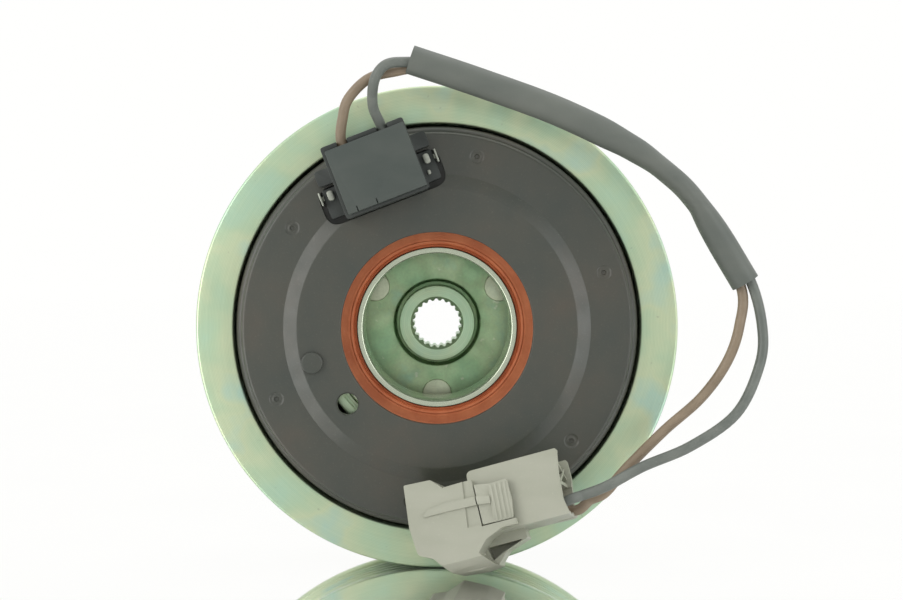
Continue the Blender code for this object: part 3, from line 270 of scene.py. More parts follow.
def baked(obj):
    """Applies the modifiers."""
    bpy.context.view_layer.update()
    graph = bpy.context.evaluated_depsgraph_get()
    shape = bpy.data.meshes.new_from_object(obj.evaluated_get(graph))
    obj.modifiers.clear()
    obj.data = shape
    shape.shade_smooth()
    shape.set_sharp_from_angle(angle=SHARP_ABOVE)
    return obj


def bevelled(obj, width, degrees=50):
    modifier = obj.modifiers.new("Bevel", "BEVEL")
    modifier.width = width
    modifier.segments = 2
    modifier.limit_method = "ANGLE"
    modifier.angle_limit = math.radians(degrees)
    return baked(obj)


def combined(obj, tools, operation):
    for tool in tools:
        modifier = obj.modifiers.new("Boolean", "BOOLEAN")
        modifier.object = tool
        modifier.operation = operation
        modifier.solver = "EXACT"
    baked(obj)
    for tool in tools:
        bpy.data.objects.remove(tool, do_unlink=True)
    return obj


def cut(obj, *tools):
    return combined(obj, tools, "DIFFERENCE")


def joined(obj, *others):
    return combined(obj, others, "UNION")


def arc(centre_a, centre_b, radius, start_deg, end_deg, steps):
    angles = [math.radians(start_deg + (end_deg - start_deg) * i / steps) for i in range(steps + 1)]
    return [(centre_a + radius * math.cos(a), centre_b + radius * math.sin(a)) for a in angles]


def box_outline(low_a, high_a, low_b, high_b):
    return [(low_a, low_b), (high_a, low_b), (high_a, high_b), (low_a, high_b)]


def slot_outline(middle_r, width, middle_deg):
    """A curved slot with round ends, as (X, Z) points."""
    first, last = middle_deg - SLOT_ARC_DEG / 2, middle_deg + SLOT_ARC_DEG / 2
    half = width / 2
    outer = arc(0, 0, middle_r + half, first, last, 20)
    inner = arc(0, 0, middle_r - half, last, first, 20)
    end_a, end_b = polar(middle_r, last), polar(middle_r, first)
    cap_a = arc(end_a.x, end_a.z, half, last, last + 180, 8)[1:-1]
    cap_b = arc(end_b.x, end_b.z, half, first + 180, first + 360, 8)[1:-1]
    return outer + cap_a + inner + cap_b


def slot_cutter(name, slots, y_rear, y_front):
    bm = bmesh.new()
    for middle_r, width, phase in slots:
        for i in range(SLOTS_PER_RING):
            prism(bm, slot_outline(middle_r, width, phase + 360.0 * i / SLOTS_PER_RING), y_rear, y_front)
    return mesh_object(name, bm)


def smooth_run(points):
    """A Catmull-Rom curve through the points."""
    ends = [points[0] * 2 - points[1], *points, points[-1] * 2 - points[-2]]
    run = []
    for a, b, c, d in zip(ends, ends[1:], ends[2:], ends[3:]):
        square, cube = a * 2 - b * 5 + c * 4 - d, b * 3 - a - c * 3 + d
        for i in range(RUN_STEPS):
            t = i / RUN_STEPS
            run.append((b * 2 + (c - a) * t + square * t**2 + cube * t**3) / 2)
    return run + [points[-1]]


def tube(name, points, radii, sides, wall=0.0):
    """A bar, or with a wall an open tube, swept along points. Each point has its radius along Y and its
    radius across."""
    bm = bmesh.new()
    angles = [2 * math.pi * k / sides for k in range(sides)]
    insets = (0, wall) if wall else (0,)
    shells = [[] for _ in insets]
    side = Vector((0, 1, 0))
    for i, point in enumerate(points):
        heading = (points[min(i + 1, len(points) - 1)] - points[max(i - 1, 0)]).normalized()
        side = (side - heading * side.dot(heading)).normalized()
        other = heading.cross(side)
        for rings, inset in zip(shells, insets):
            deep, wide = (radius - inset for radius in radii[i])
            ring = [point + side * (math.cos(a) * deep) + other * (math.sin(a) * wide) for a in angles]
            rings.append([bm.verts.new(place) for place in ring])
    for rings in shells:
        for near, far in zip(rings, rings[1:]):
            bridge(bm, near, far)
    for end in (0, -1):
        rims = [rings[end] for rings in shells]
        if wall:
            bridge(bm, *rims)
        else:
            bm.faces.new(*rims)
    return mesh_object(name, bm)


# ==== Materials ====

class Skin:
    """A Principled material whose inputs are driven by procedural patterns."""

    def __init__(self, name, metallic=0.0):
        self.material = bpy.data.materials.new(name)
        self.material.use_nodes = True
        self.tree = self.material.node_tree
        self.set("Metallic", metallic)
        self.place = self.node("TexCoord", {}).outputs["Object"]

    def feed(self, target, value):
        """Links an output to an input, or sets the input. A colour is opaque."""
        if isinstance(value, bpy.types.NodeSocket):
            self.tree.links.new(value, target)
        else:
            target.default_value = (*value, 1.0) if target.type == "RGBA" else value

    def set(self, name, value):
        self.feed(self.tree.nodes["Principled BSDF"].inputs[name], value)

    def node(self, kind, inputs, **settings):
        """A new node, its inputs fed by name or by number."""
        node = self.tree.nodes.new("ShaderNode" + kind)
        for key, value in settings.items():
            setattr(node, key, value)
        for key, value in inputs.items():
            self.feed(node.inputs[key], value)
        return node

    def math(self, operation, *values):
        return self.node("Math", dict(enumerate(values)), operation=operation).outputs[0]

    def parts(self):
        return self.node("SeparateXYZ", {0: self.place}).outputs

    def sweep(self):
        """Radius plus Y, which grows along a turned profile whether it faces outwards or along the axis."""
        x, y, z = self.parts()
        square = self.math("ADD", self.math("MULTIPLY", x, x), self.math("MULTIPLY", z, z))
        return self.math("ADD", self.math("SQRT", square), y)

    def noise(self, scale, detail=3.0, roughness=0.5, stretch=(1, 1, 1)):
        place = self.node("Mapping", {"Scale": stretch, "Vector": self.place}).outputs[0]
        inputs = {"Scale": scale, "Detail": detail, "Roughness": roughness, "Vector": place}
        return self.node("TexNoise", inputs).outputs["Fac"]

    def lines(self, along, scale):
        """Random lines across a coordinate, such as a lathe tool leaves."""
        inputs = {"W": along, "Scale": scale, "Detail": 2.0}
        return self.node("TexNoise", inputs, noise_dimensions="1D").outputs["Fac"]

    def waves(self, along, pitch):
        return self.math("SINE", self.math("MULTIPLY", along, 2 * math.pi / pitch))

    def ramp(self, factor, places, tints):
        node = self.node("ValToRGB", {"Fac": factor})
        elements = node.color_ramp.elements
        while len(elements) < len(tints):
            elements.new(0.5)
        for element, place, tint in zip(elements, places, tints):
            element.position = place
            element.color = (*tint, 1.0)
        return node.outputs["Color"]

    def span(self, pattern, low, high, to_low, to_high):
        return self.node("MapRange", dict(enumerate((pattern, low, high, to_low, to_high)))).outputs[0]

    def over(self, shade, tint, pattern, low, high, share=1.0):
        """Lays a tint over a shade, up to this share of it as the pattern goes from low to high."""
        factor = self.span(pattern, low, high, 0, share)
        return self.node("Mix", {"Factor": factor, 6: shade, 7: tint}, data_type="RGBA").outputs[2]

    def finished(self, shade, pattern, sheen, *bumps):
        """Sets the colour, a roughness that follows a pattern between two limits, and the bumps, each a
        height pattern with its depth."""
        self.set("Base Color", shade)
        self.set("Roughness", self.span(pattern, 0.25, 0.75, *sheen))
        normal = None
        for height, depth in bumps:
            bump = self.node("Bump", {"Distance": depth, "Height": height})
            if normal:
                self.feed(bump.inputs["Normal"], normal)
            normal = bump.outputs[0]
        self.set("Normal", normal)
        return self.material


def zinc(name, tints, pitch=0.00034, line_depth=5e-6, sheen=(0.28, 0.46)):
    """Chromated zinc over turned steel: drifting pale tints and the fine rings that the tool leaves."""
    skin = Skin(name, 0.72)
    shade = skin.ramp(skin.noise(62.0), (0.32, 0.45, 0.56, 0.68), tints)
    sweep = skin.sweep()
    rings = skin.waves(sweep, pitch)
    shade = skin.over(shade, (0.22, 0.29, 0.18), rings, -0.2, 1.0, 0.16)
    shade = skin.over(shade, (0.88, 0.92, 0.7), skin.lines(sweep, 1900.0), 0.4, 0.75, 0.1)
    shade = skin.over(shade, (0.16, 0.18, 0.12), skin.noise(620.0, 1.0), 0.76, 0.84, 0.3)
    fine = skin.noise(2600.0, 2.0)
    return skin.finished(shade, skin.noise(120.0), sheen, (rings, line_depth), (fine, 2.5e-6))


def pressed_zinc(name, tints):
    """Chromated zinc over blanked or cold-formed steel: soft mottling and small scuffs, no tool lines."""
    skin = Skin(name, 0.7)
    shade = skin.ramp(skin.noise(85.0, 4.0, 0.6), (0.3, 0.45, 0.58, 0.72), tints)
    grain = skin.noise(1500.0, 3.0, 0.6)
    shade = skin.over(shade, (0.17, 0.22, 0.14), grain, 0.35, 0.7, 0.16)
    shade = skin.over(shade, (0.85, 0.88, 0.74), skin.noise(520.0, 2.0), 0.66, 0.74, 0.5)
    return skin.finished(shade, skin.noise(260.0), (0.3, 0.5), (grain, 1.2e-5))


def black_steel(name, *tints):
    """Black electrocoat on pressed steel: an even satin film with faint mottling and dust."""
    skin = Skin(name)
    shade = skin.ramp(skin.noise(55.0, 4.0, 0.6), (0.3, 0.55, 0.75), tints)
    shade = skin.over(shade, (0.28, 0.28, 0.22), skin.noise(1900.0, 4.0, 0.7), 0.58, 0.8, 0.2)
    skin.set("Specular IOR Level", 0.6)
    skin.set("Coat Weight", 0.12)
    skin.set("Coat Roughness", 0.22)
    return skin.finished(shade, skin.noise(190.0), (0.34, 0.48), (skin.noise(900.0), 1.6e-5))


def ground_steel(name, base, line_scale, sheen):
    """Ground bearing steel: bright, with fine lines round the axis."""
    skin = Skin(name, 0.85)
    lines = skin.lines(skin.sweep(), line_scale)
    shade = skin.over(base, tuple(c * 0.72 for c in base), lines, 0.35, 0.7, 0.5)
    return skin.finished(shade, skin.noise(150.0), sheen, (lines, 2.5e-6))


def rubber(name, base, worn, dusty):
    """Moulded rubber: matt, with a powdery bloom."""
    skin = Skin(name)
    cloud = skin.noise(160.0, 4.0, 0.6)
    shade = skin.over(base, worn, cloud, 0.35, 0.7, 0.8)
    shade = skin.over(shade, (0.7, 0.62, 0.52), skin.noise(1800.0, 4.0, 0.7), 0.6, 0.8, dusty)
    skin.set("Specular IOR Level", 0.4)
    return skin.finished(shade, cloud, (0.42, 0.62), (skin.noise(2400.0), 1.2e-5))


def plastic(name, base, light, sheen=(0.34, 0.52), grain_scale=2200.0, grain_depth=1.4e-5):
    """Moulded plastic: fine spark-eroded grain, faint flow marks, a little handling sheen."""
    skin = Skin(name)
    shade = skin.over(base, light, skin.noise(48.0, 3.0, 0.55, (1.0, 1.0, 2.4)), 0.3, 0.72)
    grain = skin.noise(grain_scale, 3.0, 0.6)
    bright = tuple(min(1.0, c * 1.8 + 0.04) for c in base)
    shade = skin.over(shade, bright, grain, 0.62, 0.8, 0.18)
    return skin.finished(shade, skin.noise(130.0), sheen, (grain, grain_depth))


def jacket(name, base, light):
    """Extruded wire insulation: glossy, with long soft streaks and small scuffs."""
    skin = Skin(name)
    streaks = skin.noise(240.0, 3.0, 0.55, (0.6, 1.6, 0.6))
    shade = skin.over(base, light, streaks, 0.35, 0.7, 0.9)
    scuffs = skin.noise(2100.0, 3.0, 0.6)
    shade = skin.over(shade, (0.5, 0.47, 0.42), scuffs, 0.62, 0.78, 0.25)
    return skin.finished(shade, streaks, (0.34, 0.52), (scuffs, 8e-6))


def copper_turns(name, dark, bright):
    """Enamelled copper wire, its turns side by side along the bobbin, with painted shade in the grooves
    between turns and a painted highlight on each crest.
    """
    skin = Skin(name, 0.9)
    turns = skin.waves(skin.parts()[1], 0.0008)
    # Painted shade and highlight: the colour runs from dark in each groove to bright on each turn's crest.
    shade = skin.over(dark, bright, turns, -1.0, 1.0)
    return skin.finished(shade, skin.noise(300.0), (0.22, 0.36), (turns, 1.5e-4))


def cast_resin(name, dark, light):
    skin = Skin(name)
    cloud = skin.noise(90.0, 4.0, 0.6)
    skin.set("Coat Weight", 0.4)
    shade = skin.over(dark, light, cloud, 0.3, 0.7)
    return skin.finished(shade, cloud, (0.22, 0.38), (skin.noise(500.0), 3e-5))


PULLEY_TINTS = ((0.46, 0.66, 0.49), (0.5, 0.65, 0.44), (0.59, 0.68, 0.45), (0.46, 0.65, 0.53))
HUB_TINTS = ((0.36, 0.6, 0.36), (0.43, 0.65, 0.38), (0.49, 0.65, 0.39), (0.4, 0.63, 0.45))
BOSS_TINTS = ((0.46, 0.68, 0.47), (0.51, 0.7, 0.48), (0.56, 0.71, 0.48), (0.48, 0.69, 0.52))
RIVET_TINTS = ((0.62, 0.72, 0.52), (0.68, 0.76, 0.56), (0.72, 0.78, 0.58), (0.64, 0.72, 0.54))
PLUG_LOOK = ((0.34, 0.35, 0.275), (0.4, 0.405, 0.33), (0.36, 0.5), 1800.0, 7e-6)
SLEEVE_LOOK = ((0.1, 0.114, 0.1), (0.14, 0.152, 0.132), (0.42, 0.6))
STEEL_BLACKS = ((0.04, 0.048, 0.039), (0.054, 0.056, 0.043), (0.068, 0.06, 0.044))
# Each material by its name: the slot that it stands for, its kind and its values.
SKINS = {name: (make(name, *values), slot) for slot, make, name, *values in (
    ("zinc", zinc, "pulley_zinc", PULLEY_TINTS),
    ("zinc", zinc, "friction_zinc", PULLEY_TINTS, 0.00045, 9e-6, (0.34, 0.52)),
    ("zinc", pressed_zinc, "hub_zinc", HUB_TINTS),
    ("zinc", zinc, "boss_zinc", BOSS_TINTS, 0.00045),
    ("zinc", pressed_zinc, "rivet_zinc", RIVET_TINTS),
    ("black_steel", black_steel, "black_electrocoat", *STEEL_BLACKS),
    ("bearing_steel", ground_steel, "bearing_steel", (0.54, 0.59, 0.46), 7000.0, (0.16, 0.3)),
    ("bearing_steel", ground_steel, "ball_steel", (0.78, 0.78, 0.76), 900.0, (0.08, 0.14)),
    ("spring_steel", ground_steel, "spring_steel", (0.5, 0.5, 0.47), 2400.0, (0.24, 0.38)),
    ("tinned_metal", ground_steel, "tinned", (0.42, 0.44, 0.38), 1500.0, (0.26, 0.4)),
    ("seal_rubber", rubber, "seal_rubber", (0.47, 0.125, 0.045), (0.64, 0.21, 0.085), 0.15),
    ("black_rubber", rubber, "black_rubber", (0.02, 0.02, 0.019), (0.045, 0.044, 0.041), 0.1),
    # The box's plastic is painted darker than the lid's: painted shade for its walls, which stand in shadow
    # round the lid.
    ("black_plastic", plastic, "box_plastic", (0.022, 0.028, 0.025), (0.038, 0.045, 0.04)),
    ("black_plastic", plastic, "block_plastic", (0.046, 0.06, 0.054), (0.072, 0.084, 0.074)),
    ("black_plastic", plastic, "bobbin_plastic", (0.03, 0.03, 0.028), (0.052, 0.05, 0.046)),
    ("grey_plastic", plastic, "plug_plastic", *PLUG_LOOK),
    ("sleeve_plastic", plastic, "sleeve_plastic", *SLEEVE_LOOK),
    ("brown_jacket", jacket, "brown_jacket", (0.215, 0.165, 0.11), (0.29, 0.225, 0.155)),
    ("black_jacket", jacket, "black_jacket", (0.12, 0.135, 0.12), (0.175, 0.19, 0.168)),
    # The copper's dark and bright tints are the painted shade and painted highlight of its turns.
    ("copper", copper_turns, "enamelled_copper", (0.3, 0.1, 0.035), (0.8, 0.36, 0.16)),
    ("resin", cast_resin, "cast_resin", (0.055, 0.042, 0.03), (0.13, 0.1, 0.07)),
)}


def show(obj, body, skin, *nodes):
    """Gives a piece its material and its body, and hides the CAD nodes that it stands for."""
    material, slot = SKINS[skin]
    obj.data.materials.clear()
    obj.data.materials.append(material)
    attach(obj, body)
    if nodes:
        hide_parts(*nodes)


# ==== Coil ====

BLOCK_FRAME = Matrix.Rotation(-math.radians(BLOCK_DEG - 90), 4, "Y")


def mounting_plate():
    piece = turned("coil_mounting_plate", rounded([
        (PLATE_R, PLATFORM_H + PLATE_T, 0.0003), (PLATE_R, PLATFORM_H, 0.0019),
        (PLATFORM_FOOT_R, PLATFORM_H, 0.0005), (PLATFORM_R, 0, 0.001), (PLATE_BORE_R, 0, 0.0003),
        (PLATE_BORE_R, PLATE_T, 0.0003), (PLATFORM_R - 0.0004, PLATE_T, 0.0006),
        (PLATFORM_FOOT_R - 0.0006, PLATFORM_H + PLATE_T, 0.0006),
    ], EDGE, 6))
    radius, at, degrees = LOCATOR
    button = [(0, 0.001), (radius, 0.001), (radius, -LOCATOR_H, 0.0004), (0, -LOCATOR_H)]
    joined(piece, turned("locator_tool", rounded(button, 0, 4, False), SMALL_STEPS, polar(at, degrees)))
    radius, at, degrees = PILOT_HOLE
    lip = radius + 0.0004
    hole = [(0, 0.01), (radius, 0.01), (radius, 0.0003), (lip, -0.0001), (lip, -0.01), (0, -0.01)]
    opening = box_outline(-OPENING_HALF_T, OPENING_HALF_T, OPENING_IN_N, OPENING_OUT_N)
    cut(
        piece,
        turned("pilot_tool", hole, SMALL_STEPS, polar(at, degrees)),
        plate("opening_tool", rounded(opening, OPENING_CORNER, 8), -0.01, 0.02, BLOCK_FRAME),
        weld_marks(),
    )
    show(piece, "stator", "black_electrocoat", "mounting_plate")


def weld_marks():
    """A cutter for the rings that projection welding leaves on the plate's rim, each with a pip inside."""
    bm = bmesh.new()
    face = PLATFORM_H
    profile = [
        (0, face + WELD_DEPTH * 2.2), (0.00045, face + WELD_DEPTH * 1.8), (0.0006, face + 0.00006),
        (WELD_MARK_R - 0.00095, face + 0.00006), (WELD_MARK_R - 0.0007, face + WELD_DEPTH),
        (WELD_MARK_R - 0.0003, face + WELD_DEPTH), (WELD_MARK_R, face + 0.00002),
        (WELD_MARK_R, face - 0.0005), (0, face - 0.0005),
    ]
    for place in WELD_MARKS:
        lathe(bm, profile, SMALL_STEPS, polar(WELD_MARK_AT, WELD_FIRST_DEG + WELD_PITCH_DEG * place))
    return mesh_object("weld_tool", bm)


def coil_housing():
    outer, inner = CUP_R - CUP_OUTER_WALL, CUP_BORE_R + CUP_INNER_WALL
    floor_y = CUP_REAR_Y + CUP_FLOOR
    piece = turned("coil_cup", rounded([
        (CUP_R, CUP_FRONT_Y), (CUP_R, CUP_REAR_Y, 0.002), (CUP_BORE_R, CUP_REAR_Y, 0.0005),
        (CUP_BORE_R, CUP_FRONT_Y), (inner, CUP_FRONT_Y), (inner, floor_y, 0.0008),
        (outer, floor_y, 0.0008), (outer, CUP_FRONT_Y),
    ], EDGE, 4))
    neck = box_outline(-0.0122, 0.0122, 0.0343, 0.0398)
    cut(piece, plate("neck_tool", neck, 0, floor_y + 0.001, BLOCK_FRAME))
    show(piece, "stator", "black_electrocoat", "coil_housing")


def winding():
    """Bundled turns of wire, seen as ridges on every side of the coil."""
    low, high = node_box("coil_winding")
    outer, inner = high.x, WINDING_IN_R
    pitch, layer = (high.y - low.y) / WINDING_TURNS, (outer - inner) / WINDING_LAYERS
    profile = []
    for i in range(WINDING_TURNS):
        y = high.y - pitch * i
        profile += [(outer - 0.00016, y), (outer, y - pitch * 0.3), (outer, y - pitch * 0.7)]
    profile.append((outer - 0.00016, low.y))
    layers = [outer - layer * (i + 0.5) for i in range(WINDING_LAYERS)]
    profile += [(r, low.y + 0.00012) for r in layers]
    profile += [(inner, low.y + 0.0001), (inner, high.y - 0.0001)]
    profile += [(r, high.y - 0.00012) for r in reversed(layers)]
    show(turned("coil_turns", profile, COARSE_STEPS), "stator", "enamelled_copper", "coil_winding")


def potting():
    low, high = node_box("coil_potting")
    inner, face = CUP_BORE_R + CUP_INNER_WALL + 0.0002, high.y - 0.0002
    profile = rounded([
        (high.x, face), (high.x, low.y), (inner, low.y), (inner, face),
        ((inner + high.x) / 2, high.y - 0.0006, 0.003),
    ], 0.0002, 4)
    show(turned("coil_potting_ring", profile, MEDIUM_STEPS), "stator", "cast_resin", "coil_potting")


def bobbin():
    low, high = node_box("coil_bobbin")
    outer, inner, wall = high.x, CUP_BORE_R + CUP_INNER_WALL + 0.0003, 0.0009
    core = inner + wall
    profile = rounded([
        (outer, high.y), (outer, high.y - wall), (core, high.y - wall), (core, low.y + wall),
        (outer, low.y + wall), (outer, low.y), (inner, low.y), (inner, high.y),
    ], 0.0002, 2)
    show(turned("coil_bobbin_spool", profile, MEDIUM_STEPS), "stator", "bobbin_plastic", "coil_bobbin")


# ==== Bearing ====

def race(side, row_y, steps=10):
    half = math.asin(0.0021 / (BALL_R + 0.0003))
    angles = [-half + 2 * half * i / steps for i in range(steps + 1)]
    reach = BALL_R + 0.0001
    return [(BALL_PITCH_R + side * reach * math.cos(a), row_y + reach * math.sin(a), 0) for a in angles]


def bearing():
    rear, front = BEARING_REAR_Y, BEARING_REAR_Y + BEARING_W
    rear_step, front_step = rear + END_STEP, front - END_STEP
    middle = (rear + front) / 2
    rows = (middle - ROW_OFFSET, middle + ROW_OFFSET)
    inner_land, outer_land = BALL_PITCH_R - 0.0016, BALL_PITCH_R + 0.0016
    outer = rounded([
        (BEARING_R, front, 0.0006), (BEARING_R, rear, 0.0006), (OUTER_END_R, rear),
        (OUTER_END_R, rear_step), (outer_land, rear_step),
        *race(1, rows[0]),
        *race(1, rows[1]),
        (outer_land, front_step), (OUTER_END_R, front_step), (OUTER_END_R, front),
    ], 0.0002, 3)
    show(turned("outer_race_ring", outer), "rotor", "bearing_steel", "bearing_outer_ring")
    inner = rounded([
        (INNER_END_R, front, 0.0002), (INNER_END_R, front_step), (inner_land, front_step),
        *race(-1, rows[1])[::-1],
        *race(-1, rows[0])[::-1],
        (inner_land, rear_step), (INNER_END_R, rear_step), (INNER_END_R, rear, 0.0002),
        (BEARING_BORE_R, rear, 0.0009), (BEARING_BORE_R, front, 0.0009),
    ], 0.0002, 4)
    show(turned("inner_race_ring", inner), "stator", "bearing_steel", "bearing_inner_ring")
    seal("bearing_seal_rear", rear, 1)
    seal("bearing_seal_front", front, -1)
    ball_row("bearing_balls_rear", rows[0], -1)
    ball_row("bearing_balls_front", rows[1], 1)


def seal(name, end, way):
    """A rubber seal: a broad dished band with two fine lips by the inner ring."""
    face = [
        (OUTER_END_R + 0.0003, 0.00035), (OUTER_END_R + 0.0001, -0.00005), (OUTER_END_R - 0.0006, -0.00022),
        (0.0231, -0.00015), (0.0226, 0.00012), (0.0214, 0.00018), (0.0207, 0.00008), (0.02065, 0.00032),
        (0.02052, 0.00032), (0.02045, 0.00004), (0.02, 0.0001), (0.01992, 0.0005), (0.01972, 0.0005),
        (0.01958, 0.0002), (0.01942, 0.00095), (0.01915, 0.00095), (0.01905, 0.00055),
    ]
    back = [(0.01905, 0.0017), (OUTER_END_R - 0.0001, 0.0017), (OUTER_END_R - 0.0001, 0.0005)]
    profile = [(r, end + way * depth, 0.00015) for r, depth in face + back]
    show(turned(f"{name}_lip", rounded(profile, 0.00012, 2)), "rotor", "seal_rubber", name)


def ball_set(name, row_y, radius):
    bm = bmesh.new()
    for i in range(BALLS_PER_ROW):
        place = Matrix.Translation(polar(BALL_PITCH_R, 360.0 * i / BALLS_PER_ROW, row_y))
        bmesh.ops.create_uvsphere(bm, u_segments=24, v_segments=16, radius=radius, matrix=place)
    return mesh_object(name, bm)


def ball_row(name, row_y, way):
    show(ball_set(f"{name}_set", row_y, BALL_R), "ball_rows", "ball_steel", name)
    near, far = sorted((row_y + way * 0.0003, row_y + way * 0.003))
    low, high = BALL_PITCH_R - 0.0008, BALL_PITCH_R + 0.0008
    ring = rounded([(high, far), (high, near), (low, near), (low, far)], 0.0003, 3)
    cage = turned(f"{name}_cage", ring, MEDIUM_STEPS)
    cut(cage, ball_set(f"{name}_pockets", row_y, BALL_R + 0.00012))
    show(cage, "ball_rows", "bobbin_plastic")


# ==== Rotor ====

def groove_outline():
    first = (RIM_REAR_Y + RIM_FRONT_Y + GROOVES * GROOVE_PITCH) / 2
    crest, root_r = GROOVE_CREST_W / 2, CREST_R - GROOVE_DEPTH
    flank = (GROOVE_PITCH - GROOVE_CREST_W - GROOVE_ROOT_W) / 2
    points = [(RIM_R, first + crest, 0.0003)]
    for i in range(GROOVES):
        top = first - i * GROOVE_PITCH
        points += [
            (CREST_R, top - crest, 0.0003),
            (root_r, top - crest - flank, 0.00025),
            (root_r, top - crest - flank - GROOVE_ROOT_W, 0.00025),
            (CREST_R, top - GROOVE_PITCH + crest, 0.0003),
        ]
    return points + [(RIM_R, first - GROOVES * GROOVE_PITCH - crest, 0.0003)]


def rotor():
    seat_r, seat_front = BEARING_R + 0.00015, BEARING_REAR_Y + BEARING_W + 0.00015
    piece = turned("ribbed_pulley", rounded([
        (DISC_R, FRICTION_Y, 0.0003), (DISC_R, RIM_FRONT_Y, 0.0006), (RIM_R, RIM_FRONT_Y, 0.0005),
        *groove_outline(),
        (RIM_R, RIM_REAR_Y, 0.0006), (RIM_BORE_R, RIM_REAR_Y, 0.0004), (RIM_BORE_R, DISC_BACK_Y, 0.001),
        (SEAT_TUBE_R, DISC_BACK_Y, 0.001), (SEAT_TUBE_R, SEAT_TUBE_REAR_Y, 0.0004),
        (STAKE_R, SEAT_TUBE_REAR_Y, 0.0003), (STAKE_R, BEARING_REAR_Y - 0.0001, 0.0001),
        (seat_r, BEARING_REAR_Y, 0.0001), (seat_r, seat_front, 0.0002), (SHOULDER_R, seat_front),
        (SHOULDER_R, FRICTION_Y, 0.0004),
    ], EDGE, 3))
    cut(piece, slot_cutter("rotor_slot_tool", ROTOR_SLOTS, DISC_BACK_Y - 0.001, FRICTION_Y + 0.001))
    show(piece, "rotor", "pulley_zinc", "rotor_pulley")


# ==== Armature and hub ====

def rivet(name, place, rear_y, front_y, rear_r, rear_t):
    """A domed head in front, a shank, and a flat head behind."""
    angles = [math.radians(90 - 10 * i) for i in range(9)]
    dome = [(FRONT_HEAD_R * math.cos(a), front_y + FRONT_HEAD_T * math.sin(a)) for a in angles]
    dome[0] = (0, front_y + FRONT_HEAD_T)
    shank = [
        (FRONT_HEAD_R, front_y, 0.0001), (SHANK_R, front_y, 0), (SHANK_R, rear_y, 0),
        (rear_r, rear_y, 0.0001), (rear_r, rear_y - rear_t, 0.0003), (0, rear_y - rear_t),
    ]
    return turned(name, rounded(dome + shank, 0, 3, False), SMALL_STEPS, place)


def rivet_tool(name, *holes, turn=0.0):
    """A cutter with each of these holes, a profile at a distance, by each of the hub's rivets."""
    bm = bmesh.new()
    for degrees in HUB_RIVET_DEG:
        for profile, at in holes:
            lathe(bm, profile, SMALL_STEPS, polar(at, degrees + turn))
    return mesh_object(name, bm)


def armature():
    piece = turned("armature_disc", rounded([
        (ARMATURE_R, ARMATURE_FRONT_Y, 0.0008), (ARMATURE_R, ARMATURE_REAR_Y, 0.0004),
        (ARMATURE_BORE_R, ARMATURE_REAR_Y, 0.0003), (ARMATURE_BORE_R, ARMATURE_FRONT_Y, 0.0004),
    ], EDGE, 4))
    rear_y, front_y = ARMATURE_REAR_Y - 0.001, ARMATURE_FRONT_Y + 0.001
    ledge_y = ARMATURE_REAR_Y + SUNK_HOLE_D
    hole = [
        (0, front_y), (SHANK_HOLE_R, front_y), (SHANK_HOLE_R, ledge_y),
        (SUNK_HOLE_R, ledge_y), (SUNK_HOLE_R, rear_y), (0, rear_y),
    ]
    cut(
        piece,
        slot_cutter("armature_slot_tool", (ARMATURE_SLOT,), rear_y, front_y),
        rivet_tool("armature_hole_tool", (hole, ARMATURE_RIVETS_AT), turn=ARMATURE_RIVET_TURN),
    )
    show(piece, "armature", "friction_zinc", "armature_plate")
    ends = (ledge_y - 0.00005, SPRING_FRONT_Y + 0.00005)
    for i, degrees in enumerate(HUB_RIVET_DEG, 1):
        place = polar(ARMATURE_RIVETS_AT, degrees + ARMATURE_RIVET_TURN)
        made = rivet(f"spring_end_rivet_{i}", place, *ends, SUNK_HEAD_R, SUNK_HEAD_T)
        show(made, "armature", "rivet_zinc", f"armature_rivet_{i}")


def spline_outline():
    """The hollow of the spline: round-bottomed roots between flat-topped teeth."""
    points = []
    for i in range(4 * SPLINE_TEETH):
        radius = SPLINE_MINOR_R if i % 4 < 2 else SPLINE_MAJOR_R
        angle = 2 * math.pi * (i / 4) / SPLINE_TEETH
        points.append((radius * math.cos(angle), radius * math.sin(angle)))
    return rounded(points, 0.00012, 2)


def hub():
    pilot_r = SPLINE_MINOR_R - 0.0003
    seat_y, groove_y = BOSS_FRONT_Y - SEAT_BORE_D, FLANGE_REAR_Y + BOSS_GROOVE_D
    piece = turned("splined_boss", rounded([
        (BOSS_R, BOSS_FRONT_Y, 0.0005), (BOSS_R, BOSS_REAR_Y, 0.0005),
        (SPLINE_CHAMFER_R, BOSS_REAR_Y, 0.0002), (pilot_r, BOSS_REAR_Y + SPLINE_CHAMFER_D, 0),
        (pilot_r, seat_y, 0), (SEAT_BORE_R, seat_y, 0), (SEAT_BORE_R, BOSS_FRONT_Y, 0.0004),
    ], EDGE, 4))
    disc = turned("hub_flange", rounded([
        (FLANGE_R, ARMATURE_FRONT_Y, 0.0004), (FLANGE_R, FLANGE_REAR_Y, 0.0007),
        (BOSS_GROOVE_R, FLANGE_REAR_Y, 0.0005), (BOSS_GROOVE_R - 0.0003, groove_y, 0.0003),
        (BOSS_R - 0.0008, groove_y, 0), (BOSS_R - 0.0008, ARMATURE_FRONT_Y, 0),
    ], EDGE, 4))
    cut(piece, plate("spline_tool", spline_outline(), BOSS_REAR_Y - 0.001, BOSS_FRONT_Y + 0.001))
    cut(disc, rivet_tool("hub_hole_tool", (bore(SHANK_HOLE_R, 0.03, 0.05), HUB_RIVETS_AT)))
    show(disc, "hub", "hub_zinc", "hub")
    show(piece, "hub", "boss_zinc")
    ends = (FLANGE_REAR_Y - 0.00005, STOP_FRONT_Y + 0.00005)
    for i, degrees in enumerate(HUB_RIVET_DEG, 1):
        place = polar(HUB_RIVETS_AT, degrees)
        made = rivet(f"spring_root_rivet_{i}", place, *ends, REAR_HEAD_R, REAR_HEAD_T)
        show(made, "hub", "rivet_zinc", f"hub_rivet_{i}")
        leaf_spring(i, degrees)


